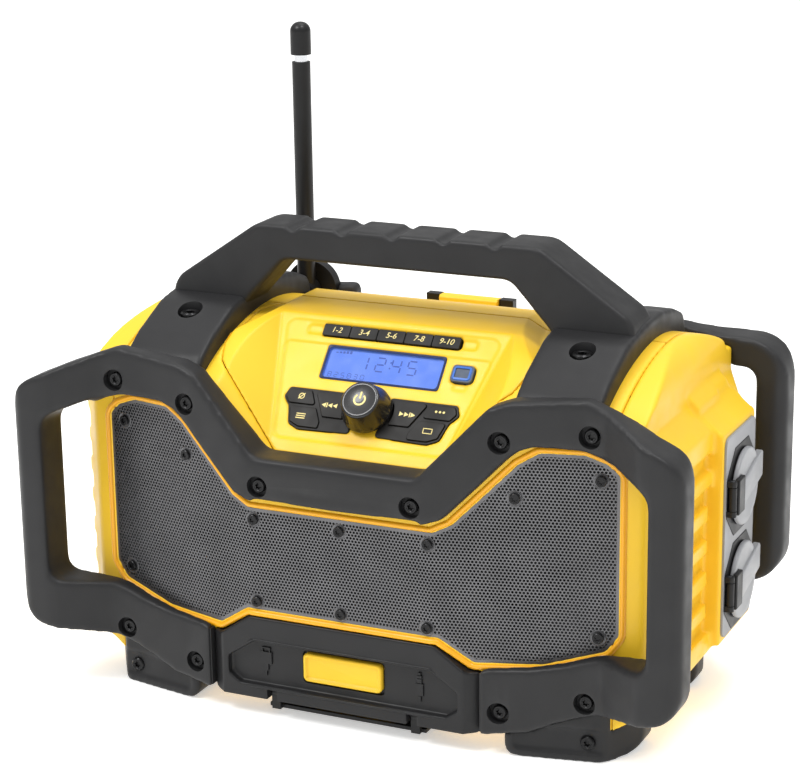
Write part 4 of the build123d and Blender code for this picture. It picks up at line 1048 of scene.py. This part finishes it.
for x, shape in DIGITS:
    seven_segments(x, DIGITS_S, DIGIT_WIDTH, DIGIT_HEIGHT, shape)
for s in COLON_S:
    bar(digits, on_panel(COLON_X, s, LCD_FACE), -DOT_HALF, -DOT_HALF, DOT_HALF, DOT_HALF, 0, LCD_INK_HEIGHT)
for k, shape in enumerate(SMALL_DIGITS):
    seven_segments(SMALL_X + SMALL_PITCH * k, SMALL_S, SMALL_WIDTH, SMALL_HEIGHT, shape)
for k in range(METER_BARS):
    spot = on_panel(METER_X + METER_PITCH * k, METER_S, LCD_FACE)
    bar(digits, spot, -0.8, 0, 0.8, 0.8 + 0.35 * k, 0, LCD_INK_HEIGHT)
piece("display_digits", digits, LCD_INK, "housing")

# dark border of the window
border_outer = rectangle(-41.3, 55.7, 41.3, 79.8, 1.5, 8)
border_inner = offset_outline(rectangle(-41, 56, 41, 79.5, 3.5, 8), -0.9)
border = bmesh.new()
layered(border, PANEL, [(border_outer, -1.85), (border_outer, -1.2), (border_inner, -1.5),
                        (border_inner, -1.85), (border_outer, -1.85)], False)
piece("display_border", border, NAVY, "housing")

# blue rim of the pairing button
rim_line = rectangle(-5.9, -4.5, 5.9, 4.5, 2.0, 6)
rim_inner = offset_outline(rim_line, -1.1)
pairing = bmesh.new()
layered(pairing, on_panel(55, 69), [(offset_outline(rim_line, 0.9), -0.4), (rim_line, 0.75),
                                    (rim_inner, 0.95), (rim_inner, 0.1)], False)
piece("pairing_rim", pairing, BLUE_RIM, "pairing_button")

# ---------------------------------------------------------------- stage, camera, light
FLOOR_RADIUS, FLOOR_DROP = 60.0, 0.0002  # metres; the floor lies just below the feet
floor_bm = bmesh.new()
bmesh.ops.create_circle(floor_bm, cap_ends=True, radius=FLOOR_RADIUS, segments=96)
floor = linked("floor", mesh_of("floor", floor_bm))
floor.location.z = -FLOOR_DROP
floor.data.materials.append(material("pale_floor", "F6F6F5", 0.6, mottle=0.01, patch=3, grain=0.02,
                                     specular=0.3, glow=0.5))
floor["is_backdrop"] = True

# the camera was fitted to the photo: its place in metres, its direction and its lens
AZIMUTH, ELEVATION, ROLL = (math.radians(degrees) for degrees in (24.92, 16.33, -0.83))
CAMERA_PLACE, CAMERA_LENS = (0.6235, -1.3522, 0.6345), 107.66
back = Vector((math.sin(AZIMUTH) * math.cos(ELEVATION), -math.cos(AZIMUTH) * math.cos(ELEVATION),
               math.sin(ELEVATION)))
right = Vector((0, 0, 1)).cross(back).normalized()
up = back.cross(right)
right, up = (right * math.cos(ROLL) + up * math.sin(ROLL), up * math.cos(ROLL) - right * math.sin(ROLL))
camera_data = bpy.data.cameras.new("camera")
camera_data.lens, camera_data.sensor_width, camera_data.sensor_fit = CAMERA_LENS, 36.0, "HORIZONTAL"
camera = linked("camera", camera_data)
camera.matrix_world = Matrix.Translation(CAMERA_PLACE) @ Matrix((right, up, back)).transposed().to_4x4()
bpy.context.scene.camera = camera


def area_light(name, location, target, size, power):
    """Round lamp aimed at a place; metres and watts."""
    data = bpy.data.lights.new(name, "AREA")
    data.shape, data.size, data.energy = "DISK", size, power
    lamp = linked(name, data)
    lamp.location = location
    lamp.rotation_mode = "QUATERNION"
    lamp.rotation_quaternion = (Vector(target) - Vector(location)).to_track_quat("-Z", "Y")


area_light("key", (-0.75, -1.0, 1.9), (0, 0, 0.12), 0.8, 22)
area_light("fill", (0.7, -0.3, 2.1), (0.1, 0, 0.15), 0.6, 13)
area_light("top", (0.0, 0.5, 2.2), (0, 0, 0.1), 1.2, 9)

# white sky, darker towards the horizon
world = bpy.data.worlds.new("studio")
world.use_nodes = True
sky = world.node_tree
height_of = sky.nodes.new("ShaderNodeSeparateXYZ")
ramp = sky.nodes.new("ShaderNodeMapRange")
for socket, value in (("From Min", 0.0), ("From Max", 0.9), ("To Min", 0.4), ("To Max", 1.0)):
    ramp.inputs[socket].default_value = value
sky.links.new(sky.nodes.new("ShaderNodeTexCoord").outputs["Generated"], height_of.inputs["Vector"])
sky.links.new(height_of.outputs["Z"], ramp.inputs["Value"])
sky.links.new(ramp.outputs["Result"], sky.nodes["Background"].inputs["Strength"])
sky.nodes["Background"].inputs["Color"].default_value = (1, 1, 1, 1)
bpy.context.scene.world = world
bpy.context.scene.view_settings.view_transform = "Standard"

low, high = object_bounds()
